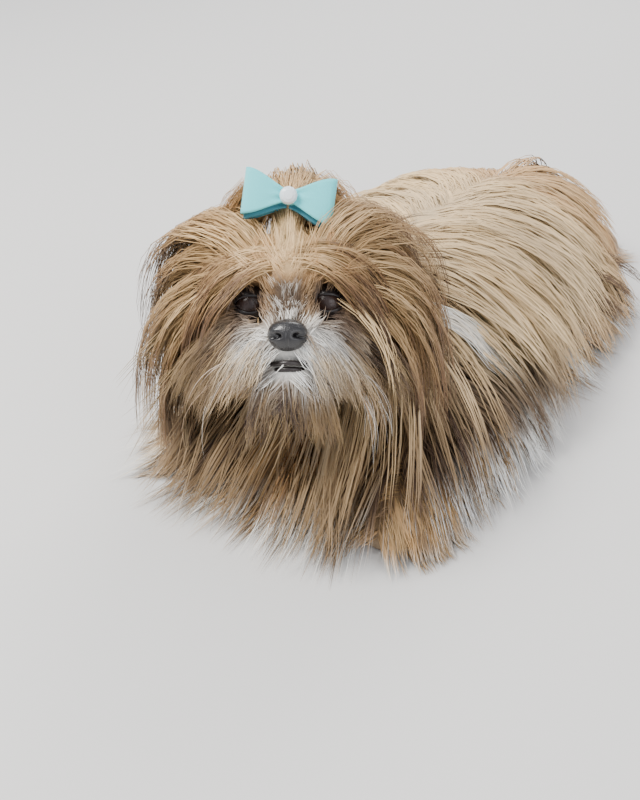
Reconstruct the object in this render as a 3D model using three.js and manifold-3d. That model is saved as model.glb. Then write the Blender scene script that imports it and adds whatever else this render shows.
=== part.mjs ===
// A long-coated toy dog lying on its belly, head raised and turned to its left.
// It wears a ribbon bow in its topknot.
// Millimetres, +Z up. The dog faces -Y and its left side is +X. The origin is on the floor under the belly.
import * as THREE from "three";
import { mergeVertices } from "three/addons/utils/BufferGeometryUtils.js";
import Module from "manifold-3d";

const wasm = await Module();
wasm.setup();

// Driving sizes.
const GAP = 0.35; // between two pieces that touch
const BLEND = 6; // how softly neighbouring muscle masses run into each other
const SIDES = { left: 1, right: -1 };

// The head: where its middle is, how far it is turned to the dog's left, tilted up and rolled.
const HEAD_AT = [-7.5, -231.7, 153.4];
const HEAD_YAW = THREE.MathUtils.degToRad(29.2);
const HEAD_PITCH = THREE.MathUtils.degToRad(33.4);
const HEAD_ROLL = THREE.MathUtils.degToRad(1.5);
const EYE_RADIUS = 10.6;
const EYE_AT = [25, 37, 8];
const LID_RADIUS = EYE_RADIUS + 2.2;
const NOSE_AT = [0, 71, -12];
const NOSE_RADII = [12.5, 9, 10.5];
const NOSTRIL_AT = [6.4, 79, -12.5];
const NOSTRIL_RADII = [3.0, 5, 2.4];

// The bow: its middle on the front of the topknot, and one loop's size.
const BOW_AT = [0, 14, 80];
const BOW_TILT = THREE.MathUtils.degToRad(-9);
const LOOP_LENGTH = 29;
const LOOP_NARROW = 7;
const LOOP_WIDE = 31;
const LOOP_THICK = 5.5;
const STONE_RADIUS = 6;

// How much further forward the right foreleg lies than the left one.
const RIGHT_REACH = 6;

// The coat's locks.
const ROOT_DEPTH = 3; // how deep a lock's root is sunk under the skin
const UNDERCOAT = 5; // the core's thickness over the flesh
const SLIVER = 0.12; // edges shorter than this are closed up
const TIDY = 0.8; // and in the hair before it is cut
const FLOOR_CLEAR = 2.2; // how far a lock's middle line stays above the floor

// Colours, from the coat in the photograph.
const COLOURS = {
  cream: 0xc9ab84,
  gold: 0xb98a5a,
  tan: 0x9a7350,
  white: 0xe6e0d4,
  leather: 0x16161a,
  eye: 0x120a07,
  ribbon: 0x8fe6ec,
  stone: 0xeaf4fa,
};

/** A material of the coat or of what the dog wears. */
function finish(colour, roughness = 0.8, metalness = 0) {
  return new THREE.MeshStandardMaterial({ color: colour, roughness, metalness });
}

/** A three-number list as a vector. */
function vector([x, y, z]) {
  return new THREE.Vector3(x, y, z);
}

// The head's own axes: x to the dog's left, y forwards along the face, z up through the crown.
const headTurning = new THREE.Quaternion().setFromRotationMatrix(
  new THREE.Matrix4()
    .makeRotationZ(HEAD_YAW)
    .multiply(new THREE.Matrix4().makeRotationX(-HEAD_PITCH))
    .multiply(new THREE.Matrix4().makeRotationY(-HEAD_ROLL)),
);

/** A way given along the head's own axes, in the part's frame. */
function wayInHead([x, y, z]) {
  return new THREE.Vector3(x, -y, z).applyQuaternion(headTurning);
}

/** A point given along the head's own axes, in the part's frame. */
function inHead(point) {
  return wayInHead(point).add(vector(HEAD_AT));
}

/** One muscle mass: an ellipsoid along the part's axes. */
function mass(centre, radii) {
  return { centre: vector(centre), radii, unturned: new THREE.Quaternion() };
}

/** One muscle mass of the head, given along the head's own axes. */
function headMass(centre, radii) {
  return { centre: inHead(centre), radii, unturned: headTurning.clone().invert() };
}

/** Roughly how far a point is from one mass's surface, negative inside. */
function distanceToMass(point, { centre, radii, unturned }) {
  const q = point.clone().sub(centre).applyQuaternion(unturned);
  const a = Math.hypot(q.x / radii[0], q.y / radii[1], q.z / radii[2]);
  const b = Math.hypot(q.x / radii[0] ** 2, q.y / radii[1] ** 2, q.z / radii[2] ** 2);
  return b < 1e-9 ? -Math.min(...radii) : (a * (a - 1)) / b;
}

/** Round masses at a tube's stations, for hair to lie over. */
function massesOf(stations) {
  return stations.map(([x, y, z, a, b = a]) => mass([x, y, z], [Math.max(a, b), Math.max(a, b), b]));
}

/** How far a point is from the skin over several masses that blend, negative inside. */
function distanceToSkin(point, masses) {
  let sum = 0;
  for (const m of masses) sum += Math.exp(-distanceToMass(point, m) / BLEND);
  return -BLEND * Math.log(Math.max(sum, 1e-30));
}

/** A geometry with only its places, and with its shared corners merged. */
function closed(geometry) {
  const bare = geometry.clone();
  bare.deleteAttribute("normal");
  bare.deleteAttribute("uv");
  return mergeVertices(bare, 1e-4);
}

/** A closed skin over masses, seen from a line through their middle and grown where asked. */
function skinOver(masses, line, { around = 20, along = 14, grow = 0 } = {}) {
  const curve = new THREE.CatmullRomCurve3(line.map(vector));
  const ball = closed(new THREE.SphereGeometry(1, around, along));
  const place = ball.attributes.position;
  const axis = curve.getPoint(1).sub(curve.getPoint(0)).normalize();
  const turn = new THREE.Quaternion().setFromUnitVectors(new THREE.Vector3(0, 1, 0), axis);
  const dir = new THREE.Vector3();
  for (let i = 0; i < place.count; i++) {
    dir.fromBufferAttribute(place, i).normalize();
    const centre = curve.getPoint((1 + dir.y) / 2);
    const ray = dir.clone().applyQuaternion(turn);
    const off = (r) => distanceToSkin(centre.clone().addScaledVector(ray, r), masses) - grow;
    let far = 260;
    while (far > 1 && off(far) > 0) far -= 2;
    let near = far;
    far += 2;
    for (let k = 0; k < 12; k++) {
      const middle = (near + far) / 2;
      if (off(middle) > 0) far = middle;
      else near = middle;
    }
    const p = centre.addScaledVector(ray, near);
    place.setXYZ(i, p.x, p.y, p.z);
  }
  return ball;
}

/** A manifold solid from a closed geometry, whichever way its faces point. */
function solid(geometry) {
  const merged = closed(geometry);
  const vertProperties = new Float32Array(merged.attributes.position.array);
  const triVerts = new Uint32Array(merged.index.array);
  const made = new wasm.Manifold(new wasm.Mesh({ numProp: 3, vertProperties, triVerts }));
  if (made.volume() >= 0) return made;
  triVerts.reverse();
  return new wasm.Manifold(new wasm.Mesh({ numProp: 3, vertProperties, triVerts }));
}

/** Several solids joined. */
function joined(solids) {
  return solids.reduce((all, one) => all.add(one));
}

/** The largest closed body of a solid. */
function largest(made) {
  return made.decompose().sort((a, b) => b.volume() - a.volume())[0];
}

/** A solid as a three.js geometry. */
function geometryOf(made) {
  const mesh = made.getMesh();
  const places = new Float32Array(mesh.numVert * 3);
  for (let i = 0; i < mesh.numVert; i++) {
    places.set(mesh.vertProperties.subarray(i * mesh.numProp, i * mesh.numProp + 3), i * 3);
  }
  return new THREE.BufferGeometry()
    .setAttribute("position", new THREE.BufferAttribute(places, 3))
    .setIndex(new THREE.BufferAttribute(mesh.triVerts, 1));
}

/** A ball along the head's axes, with its own radii, grown where asked. */
function headBall(centre, radii, { grow = 0, around = 20, along = 12 } = {}) {
  return solid(
    new THREE.SphereGeometry(1, around, along)
      .scale(radii[0] + grow, radii[1] + grow, radii[2] + grow)
      .applyQuaternion(headTurning)
      .translate(...inHead(centre).toArray()),
  );
}

/** A point of the head on one side of it. */
function onSide(side, [x, y, z]) {
  return [side * x, y, z];
}

const aboveFloor = solid(new THREE.BoxGeometry(1400, 1400, 600).translate(0, 0, 300));

// The flesh, by muscle masses.
const FLESH = {
  torso: [
    mass([0, -95, 66], [60, 80, 76]),
    mass([0, -20, 68], [64, 90, 74]),
    mass([0, 60, 64], [60, 75, 68]),
    mass([0, 112, 58], [60, 56, 62]),
    mass([0, -85, 105], [38, 60, 42]),
  ],
  neck: [mass([-1, -150, 108], [44, 46, 48]), mass([-4, -185, 122], [40, 44, 42])],
  head: [
    headMass([0, 0, 4], [48, 52, 42]),
    headMass([0, 26, 14], [38, 28, 28]),
    headMass([28, 22, -14], [22, 28, 22]),
    headMass([-28, 22, -14], [22, 28, 22]),
    headMass([0, 46, -15], [27, 25, 15]),
  ],
  lower_jaw: [headMass([0, 28, -44], [22, 34, 10]), headMass([0, 52, -42], [16, 13, 8])],
  hindleg_left: [mass([66, 92, 44], [36, 58, 44]), mass([84, 60, 26], [26, 34, 26])],
  hindleg_right: [mass([-66, 92, 44], [36, 58, 44]), mass([-84, 60, 26], [26, 34, 26])],
};
const LEGS = {};
for (const [name, side] of Object.entries(SIDES)) {
  const reach = side > 0 ? 0 : RIGHT_REACH;
  LEGS[`foreleg_${name}`] = [
    [side * 70, -84, 30, 25],
    [side * 82, -120, 25, 22],
    [side * 85, -160, 19, 18],
    [side * 84, -196, 16, 15],
    [side * 83, -224 - reach, 14, 14],
  ];
  LEGS[`forepaw_${name}`] = [
    [side * 83, -222 - reach, 15, 14, 14],
    [side * 82, -246 - reach, 12, 20, 13],
    [side * 82, -276 - reach, 9, 14, 9],
  ];
  LEGS[`hindpaw_${name}`] = [
    [side * 98, 128, 12, 13, 11],
    [side * 102, 96, 11, 16, 12],
    [side * 103, 62, 8, 12, 9],
  ];
}
const TAIL = [
  [0, 146, 82, 15],
  [4, 168, 98, 15],
  [20, 184, 102, 14],
  [44, 198, 92, 13],
  [72, 222, 64, 12],
  [98, 254, 34, 9],
];

// All flesh at once, which locks keep clear of.
const EVERYTHING = [
  ...Object.values(FLESH).flat(),
  ...Object.values(LEGS).flatMap(massesOf),
  ...massesOf(TAIL),
  mass([0, -60, 40], [70, 90, 42]),
];

/** A limb's stations, thicker by its coat. */
function coated(stations, depth) {
  return stations.map(([x, y, z, a, b = a]) => [x, y, z, a + depth, b + depth]);
}

/** The lines through the middles of the flesh that skinOver looks out from. */
const LINES = {
  torso: [[0, -90, 60], [0, 90, 56]],
  neck: [[0, -130, 100], [-5, -195, 128]],
  head: [inHead([0, 12, 0]).toArray(), inHead([0, 30, -6]).toArray()],
  lower_jaw: [inHead([0, 22, -70]).toArray(), inHead([0, 40, -44]).toArray()],
  hindleg_left: [[70, 110, 34], [78, 64, 30]],
  hindleg_right: [[-70, 110, 34], [-78, 64, 30]],
};

/**
 * A limb, lock bundle or hanging leaf: a closed tube through stations of place and two half-widths.
 * The first half-width lies across both the line and `facing`, the second along `facing`.
 */
function tube(stations, { facing = [0, 0, 1], around = 12, along = 10, grow = 0 } = {}) {
  const curve = new THREE.CatmullRomCurve3(stations.map(([x, y, z]) => new THREE.Vector3(x, y, z)));
  const widths = new THREE.CatmullRomCurve3(stations.map(([, , , a, b = a]) => new THREE.Vector3(a, b, 0)));
  const ball = closed(new THREE.SphereGeometry(1, around, along));
  const place = ball.attributes.position;
  const face = vector(facing);
  const dir = new THREE.Vector3();
  for (let i = 0; i < place.count; i++) {
    dir.fromBufferAttribute(place, i).normalize();
    const t = Math.acos(THREE.MathUtils.clamp(-dir.y, -1, 1)) / Math.PI;
    const centre = curve.getPoint(t);
    const ahead = curve.getTangent(t);
    const across = ahead.clone().cross(face).normalize();
    const over = across.clone().cross(ahead).normalize();
    const half = widths.getPoint(t);
    const ring = Math.hypot(dir.x, dir.z) || 1;
    const swell = Math.min(1, Math.sin(Math.PI * t) * 2.2);
    const a = (half.x * swell + grow) * (dir.x / ring) * (ring > 1e-6 ? 1 : 0);
    const b = (half.y * swell + grow) * (dir.z / ring) * (ring > 1e-6 ? 1 : 0);
    const end = t < 1e-6 ? -1 : t > 1 - 1e-6 ? 1 : 0;
    const p = centre.addScaledVector(across, a).addScaledVector(over, b);
    p.addScaledVector(ahead, end * (grow + 0.5));
    place.setXYZ(i, p.x, p.y, p.z);
  }
  return solid(ball);
}

/** The way out of the flesh at a point. */
function outward(point, masses) {
  const step = 0.5;
  const slope = (axis) => {
    const ahead = point.clone();
    const behind = point.clone();
    ahead[axis] += step;
    behind[axis] -= step;
    return distanceToSkin(ahead, masses) - distanceToSkin(behind, masses);
  };
  return new THREE.Vector3(slope("x"), slope("y"), slope("z")).normalize();
}

/** The point under the skin, by the depth that a lock's root is sunk, nearest to a rough place. */
function rooted(place, masses, sunk = ROOT_DEPTH) {
  const p = vector(place);
  for (let i = 0; i < 8; i++) p.addScaledVector(outward(p, masses), -(distanceToSkin(p, masses) + sunk));
  return p;
}

/**
 * The line of one lock: it leaves its root along `way`, bends down under its weight, keeps
 * `clear` of all flesh and comes to lie on the floor. Each point also gets the way that its
 * flat side faces.
 */
function combed(place, masses, way, { length, steps = 5, weight = 0.3, clear = 11, spread = 0, sunk }) {
  let p = rooted(place, masses, sunk);
  const ahead = vector(way).normalize();
  const step = length / steps;
  const line = [{ p: p.clone(), face: outward(p, EVERYTHING) }];
  for (let i = 1; i <= steps; i++) {
    ahead.z -= weight * Math.min(1, 0.5 + i / steps);
    ahead.normalize();
    const from = p.clone();
    p.addScaledVector(ahead, step);
    const near = i === 1 ? Math.min(clear, 9) : clear;
    const wanted = near + spread * THREE.MathUtils.clamp(1 - p.z / 125, 0, 1);
    for (let k = 0; k < 3; k++) {
      const lacking = wanted - distanceToSkin(p, EVERYTHING);
      if (lacking > 0) p.addScaledVector(outward(p, EVERYTHING), lacking);
      p.z = Math.max(p.z, FLOOR_CLEAR);
    }
    ahead.copy(p).sub(from).normalize();
    p = from.addScaledVector(ahead, step);
    p.z = Math.max(p.z, FLOOR_CLEAR);
    const low = THREE.MathUtils.clamp(1 - p.z / 45, 0, 1);
    const face = outward(p, EVERYTHING).multiplyScalar(1 - low);
    face.z += low;
    line.push({ p: p.clone(), face: face.normalize() });
  }
  return line;
}

/** The solid of a lock: a ridged blade, widest before its middle and tapering to its tip. */
function lockSolid({ line, width, thick }, grow) {
  const last = line.length - 1;
  const places = [];
  const index = [];
  const boxy = grow > 0 ? 1 : 0;
  line.forEach(({ p, face }, i) => {
    const t = i / last;
    const before = line[Math.max(0, i - 1)].p;
    const after = line[Math.min(last, i + 1)].p;
    const ahead = after.clone().sub(before).normalize();
    const across = ahead.clone().cross(face).normalize();
    const over = across.clone().cross(ahead).normalize();
    const tapering = (0.7 + 0.3 * Math.min(1, 3 * t)) * Math.sqrt(Math.max(0, 1 - t ** 2.2));
    const a = Math.max((width / 2) * tapering, i === last ? 0.35 : 1) + grow;
    const b = Math.max((thick / 2) * (1 - 0.65 * t), 0.3) + grow;
    const end = i === 0 ? -grow : i === last ? grow : 0;
    const middle = p.clone().addScaledVector(ahead, end);
    const corners = boxy
      ? [[a, b], [-a, b], [-a, -b], [a, -b]]
      : [[a, 0], [0, b], [-a, 0], [0, -b]];
    for (const [u, v] of corners) {
      places.push(...middle.clone().addScaledVector(across, u).addScaledVector(over, v).toArray());
    }
  });
  for (let i = 0; i < last; i++) {
    for (let k = 0; k < 4; k++) {
      const [a, b, c, d] = [i * 4 + k, i * 4 + ((k + 1) % 4), i * 4 + 4 + ((k + 1) % 4), i * 4 + 4 + k];
      if (k < 2) index.push(a, b, c, a, c, d);
      else index.push(a, b, d, b, c, d);
    }
  }
  const z = last * 4;
  index.push(0, 2, 1, 0, 3, 2, z, z + 1, z + 2, z, z + 2, z + 3);
  const blade = new THREE.BufferGeometry().setAttribute(
    "position",
    new THREE.BufferAttribute(new Float32Array(places), 3),
  );
  return solid(blade.setIndex(index));
}

const nodes = []; // every named solid with its growing function, the first ones winning where two would cross
/** Notes a node: make(grow) gives its core, grown where asked, and its locks are fused to it. */
function node(name, colour, make, locks = []) {
  nodes.push({ name, colour, make, locks });
}

// The bow: two loops of felt, the strap round its waist and the stone on it.
const bowTurning = headTurning.clone().multiply(
  new THREE.Quaternion().setFromAxisAngle(new THREE.Vector3(0, 1, 0), -BOW_TILT),
);
/** Puts a bow shape drawn round its waist, facing -Y, in place. */
function onBow(geometry) {
  return solid(geometry.applyQuaternion(bowTurning).translate(...inHead(BOW_AT).toArray()));
}
/** One loop of the bow: narrow at the waist, wide at its fold. */
function bowLoop(side, grow) {
  const outline = new THREE.Shape();
  const start = side * (STONE_RADIUS * 0.62);
  const end = side * (STONE_RADIUS * 0.62 + LOOP_LENGTH + grow);
  outline.moveTo(start, -LOOP_NARROW / 2 - grow);
  outline.quadraticCurveTo(side * 14, -LOOP_WIDE * 0.5 - grow, end, -LOOP_WIDE / 2 - grow);
  outline.lineTo(end, LOOP_WIDE / 2 + grow);
  outline.quadraticCurveTo(side * 14, LOOP_WIDE * 0.5 + grow, start, LOOP_NARROW / 2 + grow);
  const thick = LOOP_THICK + 2 * grow;
  const loop = new THREE.ExtrudeGeometry(outline, { depth: thick, bevelEnabled: false, curveSegments: 6 });
  return onBow(loop.translate(0, 0, -thick / 2).rotateX(Math.PI / 2));
}
node("bow_stone", COLOURS.stone, (grow) =>
  onBow(new THREE.SphereGeometry(STONE_RADIUS + grow, 12, 8).scale(1, 0.6, 0.82).translate(0, -6.4, 0)),
);
node("bow_strap", COLOURS.ribbon, (grow) =>
  onBow(new THREE.BoxGeometry(7 + 2 * grow, LOOP_THICK + 4 + 2 * grow, 9 + 2 * grow).translate(0, -0.2, 0)),
);
for (const [name, side] of Object.entries(SIDES)) {
  node(`bow_loop_${name}`, COLOURS.ribbon, (grow) => bowLoop(side, grow));
}

// Eyes and nose.
for (const [name, side] of Object.entries(SIDES)) {
  node(`eye_${name}`, COLOURS.eye, (grow) =>
    headBall(onSide(side, EYE_AT), [EYE_RADIUS, EYE_RADIUS, EYE_RADIUS], { grow, around: 12, along: 8 }),
  );
}
node("nose", COLOURS.leather, (grow) => {
  const pad = headBall(NOSE_AT, NOSE_RADII, { grow, around: 12, along: 8 });
  if (grow) return pad;
  const nostrils = [1, -1].map((side) =>
    headBall(onSide(side, NOSTRIL_AT), NOSTRIL_RADII, { around: 8, along: 6 }),
  );
  return pad.subtract(joined(nostrils));
});

/** A lock from where it roots, which way it leaves and how it hangs. */
function lock(place, masses, way, { width = 24, thick = 5, ...hang }) {
  return { line: combed(place, masses, way, hang), width, thick };
}

/** A number in a loop that wanders a little, the same each time. */
function wander(i, reach = 1) {
  return reach * Math.sin(i * 12.9898 + 4.1 * Math.sin(i * 3.7));
}

/** A lip: a low roll along the edge of the mouth, from the middle of the muzzle to its corner. */
function lip(stations, grow) {
  const sides = [1, -1].map((side) =>
    tube(
      stations.map(([x, y, z, r]) => [...inHead([side * x, y, z]).toArray(), r]),
      { facing: wayInHead([0, 0, 1]).toArray(), around: 6, along: 6, grow },
    ),
  );
  return joined(sides);
}

// The head, with its lids, upper lip and the groove under the nose.
const headLocks = [];
for (const side of [1, -1]) {
  for (let i = 0; i < 4; i++) {
    const t = i / 3;
    const root = inHead([side * (12 + 15 * t), 66 - 26 * t, -16 - 6 * t]).toArray();
    const way = wayInHead([side * (0.5 + 0.4 * t), 0.5 - 0.5 * t, -0.6]).toArray();
    headLocks.push(
      lock(root, FLESH.head, way, {
        length: 44 + 12 * t,
        weight: 0.25,
        clear: 5,
        width: 16,
        thick: 4,
        steps: 3,
      }),
    );
  }
  for (let i = 0; i < 4; i++) {
    const t = i / 3;
    const root = inHead([side * (34 + 9 * t), 34 - 26 * t, -6 + 4 * t]).toArray();
    const way = wayInHead([side * 0.9, 0.1 - 0.2 * t, -0.5]).toArray();
    headLocks.push(
      lock(root, FLESH.head, way, {
        length: 66 + 8 * wander(i),
        weight: 0.3,
        clear: 6,
        width: 21,
        thick: 4.5,
        steps: 4,
      }),
    );
  }
  for (let i = 0; i < 2; i++) {
    const root = inHead([side * (8 + 16 * i), 45 - 5 * i, 27 - 1.5 * i]).toArray();
    const up = wayInHead([side * -0.15 - 0.02 * i * side, -0.35, 1]).toArray();
    headLocks.push(
      lock(root, FLESH.head, up, { length: 30, weight: -0.1, clear: 4, width: 17, thick: 3.5, steps: 3 }),
    );
  }
  for (let i = 0; i < 2; i++) {
    const root = inHead([side * (10 + 22 * i), -34 + 4 * i, 26 - 5 * i]).toArray();
    const way = wayInHead([side * 0.15 * i, -0.9, 0.2]).toArray();
    headLocks.push(
      lock(root, FLESH.head, way, { length: 84, weight: 0.3, clear: 7, width: 32, thick: 5, steps: 4 }),
    );
  }
}
node(
  "head",
  COLOURS.tan,
  (grow) => {
    const lids = Object.values(SIDES).map((side) =>
      headBall(onSide(side, EYE_AT), [LID_RADIUS, LID_RADIUS, LID_RADIUS], { grow, around: 12, along: 8 }),
    );
    const skull = solid(skinOver(FLESH.head, LINES.head, { around: 16, along: 11, grow: grow + 2.5 }));
    const upperLip = lip([[1, 68, -27, 3.4], [9, 64, -30, 4.2], [18, 54, -32, 4.2], [25, 38, -33, 3]], grow);
    const whole = joined([skull, upperLip, ...lids]);
    if (grow) return whole;
    const openings = Object.values(SIDES).map((side) =>
      headBall(onSide(side, [EYE_AT[0], EYE_AT[1] + 10, EYE_AT[2] - 0.5]), [9.6, 12, 6.8], {
        around: 10,
        along: 6,
      }),
    );
    const groove = headBall([0, 76, -27], [1.3, 6, 8], { around: 6, along: 4 });
    return whole.subtract(joined([...openings, groove]));
  },
  headLocks,
);

// The lower jaw, with its lip and the beard.
const beard = [];
for (let i = 0; i < 7; i++) {
  const x = -24 + 8 * i;
  const root = inHead([x, 60 - 0.05 * x * x, -46]).toArray();
  const way = wayInHead([x / 40, 0.3, -1]).toArray();
  beard.push(
    lock(root, FLESH.lower_jaw, way, { length: 46 + wander(i, 5), clear: 4, width: 14, thick: 4, steps: 3 }),
  );
}
node(
  "lower_jaw",
  COLOURS.cream,
  (grow) => {
    const jaw = solid(skinOver(FLESH.lower_jaw, LINES.lower_jaw, { around: 12, along: 8, grow: grow + 2 }));
    const lowerLip = lip([[1, 64, -36, 3], [9, 60, -37, 3.4], [17, 50, -38, 3.4], [22, 36, -38, 2.6]], grow);
    return jaw.add(lowerLip);
  },
  beard,
);

// Ears: a hanging leaf with its cup towards the head, and the long hair that falls from it.
for (const [name, side] of Object.entries(SIDES)) {
  const root = inHead([side * 46, -8, 24]);
  const out = wayInHead([side, 0, 0]);
  const leaf = (inwards, narrowing, grow) => {
    const stations = [];
    for (let i = 0; i < 5; i++) {
      const t = i / 4;
      const p = root.clone().addScaledVector(out, 8 * Math.min(1, t * 3) + 10 * t - inwards);
      const wide = (18 + 9 * Math.sin(Math.PI * t) - 5 * t) * narrowing;
      stations.push([p.x, p.y - 6 * t, p.z - 66 * t, wide, 5]);
    }
    return tube(stations, { facing: out.toArray(), around: 8, along: 7, grow });
  };
  const hair = [];
  for (let i = 0; i < 6; i++) {
    const t = i / 5;
    const from = root.clone().addScaledVector(out, 12 + 6 * Math.sin(Math.PI * t));
    const inner = wayInHead([0, 1, 0]).multiplyScalar(-20 + 42 * t);
    from.add(inner);
    from.z -= 4 + 22 * (i % 2);
    const way = [out.x * 0.8, out.y * 0.8 - 0.25 * t, -1];
    const path = combed(from.toArray(), [mass(from.toArray(), [6, 6, 6])], way, {
      length: 158 - 22 * (i % 2) + wander(i + side, 8),
      steps: 5,
      weight: 0.38,
      clear: 15 + 7 * (i % 2),
      sunk: 3,
    });
    hair.push({ line: path, width: 25, thick: 5 });
  }
  node(
    `ear_${name}`,
    COLOURS.tan,
    (grow) => {
      const flap = leaf(0, 1, grow);
      return grow ? flap : flap.subtract(leaf(5.5, 0.72, 0));
    },
    hair,
  );
}

// The topknot: gathered above the crown behind the bow and falling back over the neck.
const KNOT = [
  [0, 4, 40, 17],
  [0, 2, 60, 10],
  [0, 0, 76, 7],
  [1, -8, 86, 7],
  [4, -20, 88, 6],
];
const knotStations = KNOT.map(([x, y, z, r]) => [...inHead([x, y, z]).toArray(), r]);
const knotLocks = [];
for (let i = 0; i < 7; i++) {
  const t = i / 6;
  const root = inHead([wander(i, 5), -2 - 10 * t, 80 + wander(i + 5, 3)]).toArray();
  const fan = (t - 0.4) * 2.4;
  const back = -0.75 + 0.5 * Math.abs(fan) * (i % 2);
  const way = wayInHead([0.25 + fan * 0.5, back, 0.8 - 0.35 * (i % 3)]).toArray();
  knotLocks.push(
    lock(root, massesOf(knotStations), way, {
      length: 92 + wander(i, 14),
      steps: 5,
      weight: 0.34,
      clear: 15 + 6 * (i % 3),
      width: 20,
      thick: 4.5,
      sunk: 2,
    }),
  );
}
const knotFacing = wayInHead([1, 0, 0]).toArray();
node("topknot", COLOURS.gold, (grow) =>
  tube(knotStations, { facing: knotFacing, grow, around: 8, along: 8 }), knotLocks,
);

// Legs and paws, with their coat.
for (const [name, side] of Object.entries(SIDES)) {
  const fringe = [];
  for (let i = 0; i < 6; i++) {
    const t = i / 5;
    const [x, y, z, r] = LEGS[`forepaw_${name}`][i % 2 ? 1 : 2];
    const turned = (t - 0.5) * 2.2;
    const way = [side * 0.4 + Math.sin(turned), -Math.cos(turned), 0.25];
    fringe.push(
      lock([x + r * Math.sin(turned) * 0.7, y - 4, z + 6], massesOf(LEGS[`forepaw_${name}`]), way, {
        length: 34 + wander(i, 4),
        steps: 3,
        weight: 0.5,
        clear: 5,
        width: 13,
        thick: 4,
      }),
    );
  }
  node(`forepaw_${name}`, COLOURS.white, (grow) =>
    tube(coated(LEGS[`forepaw_${name}`], 2.5), { grow, around: 8, along: 6 }), fringe,
  );
}
for (const [name, side] of Object.entries(SIDES)) {
  const key = `foreleg_${name}`;
  const hair = [];
  for (let i = 0; i < 8; i++) {
    const t = Math.floor(i / 2) / 3;
    const [x, y, z, r] = LEGS[key][Math.min(4, Math.round(t * 4))];
    const outer = i % 2 ? 1 : -0.7;
    const way = [side * outer, -0.5, 0.2];
    hair.push(
      lock([x + side * outer * r * 0.6, y + 8 * (t - 0.5), z + r * 0.7], massesOf(LEGS[key]), way, {
        length: (i % 2 ? 84 : 46) + wander(i, 6),
        weight: 0.34,
        clear: 6,
        width: 27,
        thick: 4.5,
        steps: 4,
      }),
    );
  }
  node(key, COLOURS.gold, (grow) => tube(coated(LEGS[key], 4), { grow, around: 9, along: 7 }), hair);
}
for (const [name, side] of Object.entries(SIDES)) {
  const key = `hindpaw_${name}`;
  const hair = [];
  for (let i = 0; i < 6; i++) {
    const [x, y, z] = LEGS[key][Math.floor(i / 2)];
    hair.push(
      lock([x + side * 3, y + (i % 2 ? 6 : -6), z + 6], massesOf(LEGS[key]), [side, -0.35, 0.3], {
        length: 36 + wander(i, 4),
        steps: 3,
        weight: 0.5,
        clear: 4,
        width: 14,
        thick: 4,
      }),
    );
  }
  node(key, COLOURS.white, (grow) => tube(coated(LEGS[key], 2.5), { grow, around: 8, along: 6 }), hair);
}
for (const [name, side] of Object.entries(SIDES)) {
  const key = `hindleg_${name}`;
  const hair = [];
  for (let i = 0; i < 7; i++) {
    const y = 58 + 13 * i;
    hair.push(
      lock([side * 88, y, 66 - 22 * (i % 2)], FLESH[key], [side, 0.1 + 0.05 * i, 0], {
        length: 66 - 10 * (i % 2) + wander(i, 5),
        weight: 0.35,
        clear: 9,
        spread: 14,
        width: 29,
        thick: 5,
      }),
    );
  }
  node(key, COLOURS.gold, (grow) =>
    solid(skinOver(FLESH[key], LINES[key], { grow: grow + 3, around: 10, along: 7 })), hair,
  );
}

// The tail, carried over the rump, with its plume falling to its left and behind.
const plume = [];
for (let i = 0; i < 14; i++) {
  const t = i / 13;
  const spot = new THREE.CatmullRomCurve3(TAIL.map(([x, y, z]) => new THREE.Vector3(x, y, z))).getPoint(t);
  const side = i % 3;
  const way = [
    [0.9, 0.5, 0.2],
    [0.35, 1, 0.15],
    [0.8, -0.15, 0.3],
  ][side];
  plume.push(
    lock([spot.x + way[0] * 6, spot.y + way[1] * 6, spot.z + 8], massesOf(TAIL), way, {
      length: 112 + wander(i, 14) - 26 * t,
      steps: 4,
      weight: 0.4,
      clear: 13 + 5 * side,
      width: 30,
      thick: 5,
    }),
  );
}
node("tail", COLOURS.gold, (grow) => tube(coated(TAIL, 3), { grow, around: 10, along: 9 }), plume);

// Torso: its coat falls in two tiers on each side of the parting along the spine.
const coat = [];
for (const side of [1, -1]) {
  for (let i = 0; i < 8; i++) {
    const y = -126 + 36 * i;
    coat.push(
      lock([side * 5, y, 140], FLESH.torso, [side, 0.1 + 0.02 * i, 0.1], {
        length: 212 + wander(i + side, 10),
        steps: 5,
        weight: 0.38,
        clear: 13 + 6 * (i % 2),
        spread: 30,
        width: 50,
        thick: 5.5,
      }),
    );
    coat.push(
      lock([side * 44, y + 18, 118], FLESH.torso, [side, 0.1 + 0.02 * i, 0], {
        length: 146 + wander(i - side, 9),
        steps: 4,
        weight: 0.5,
        clear: 6,
        spread: 18,
        width: 46,
        thick: 5,
      }),
    );
  }
}
for (const side of [1, -1]) {
  for (let i = 0; i < 3; i++) {
    coat.push(
      lock([side * (14 + 18 * i), 156 - 9 * i, 96 - 12 * i], FLESH.torso, [side * (0.1 + 0.3 * i), 1, 0], {
        length: 128 - 8 * i,
        steps: 4,
        weight: 0.45,
        clear: 8 + 5 * (i % 2),
        spread: 8,
        width: 44,
        thick: 5,
      }),
    );
  }
  for (let i = 0; i < 3; i++) {
    const way = [side * (0.1 + 0.15 * i), -1, -0.1];
    coat.push(
      lock([side * (8 + 17 * i), -172 + 8 * i, 84 - 6 * i], FLESH.torso, way, {
        length: 146 - 10 * i,
        steps: 4,
        weight: 0.36,
        clear: 6 + 3 * (i % 2),
        width: 27,
        thick: 5,
      }),
    );
  }
}
node("torso", COLOURS.cream, (grow) =>
  solid(skinOver(FLESH.torso, LINES.torso, { around: 14, along: 10, grow: grow + UNDERCOAT })), coat,
);

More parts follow.
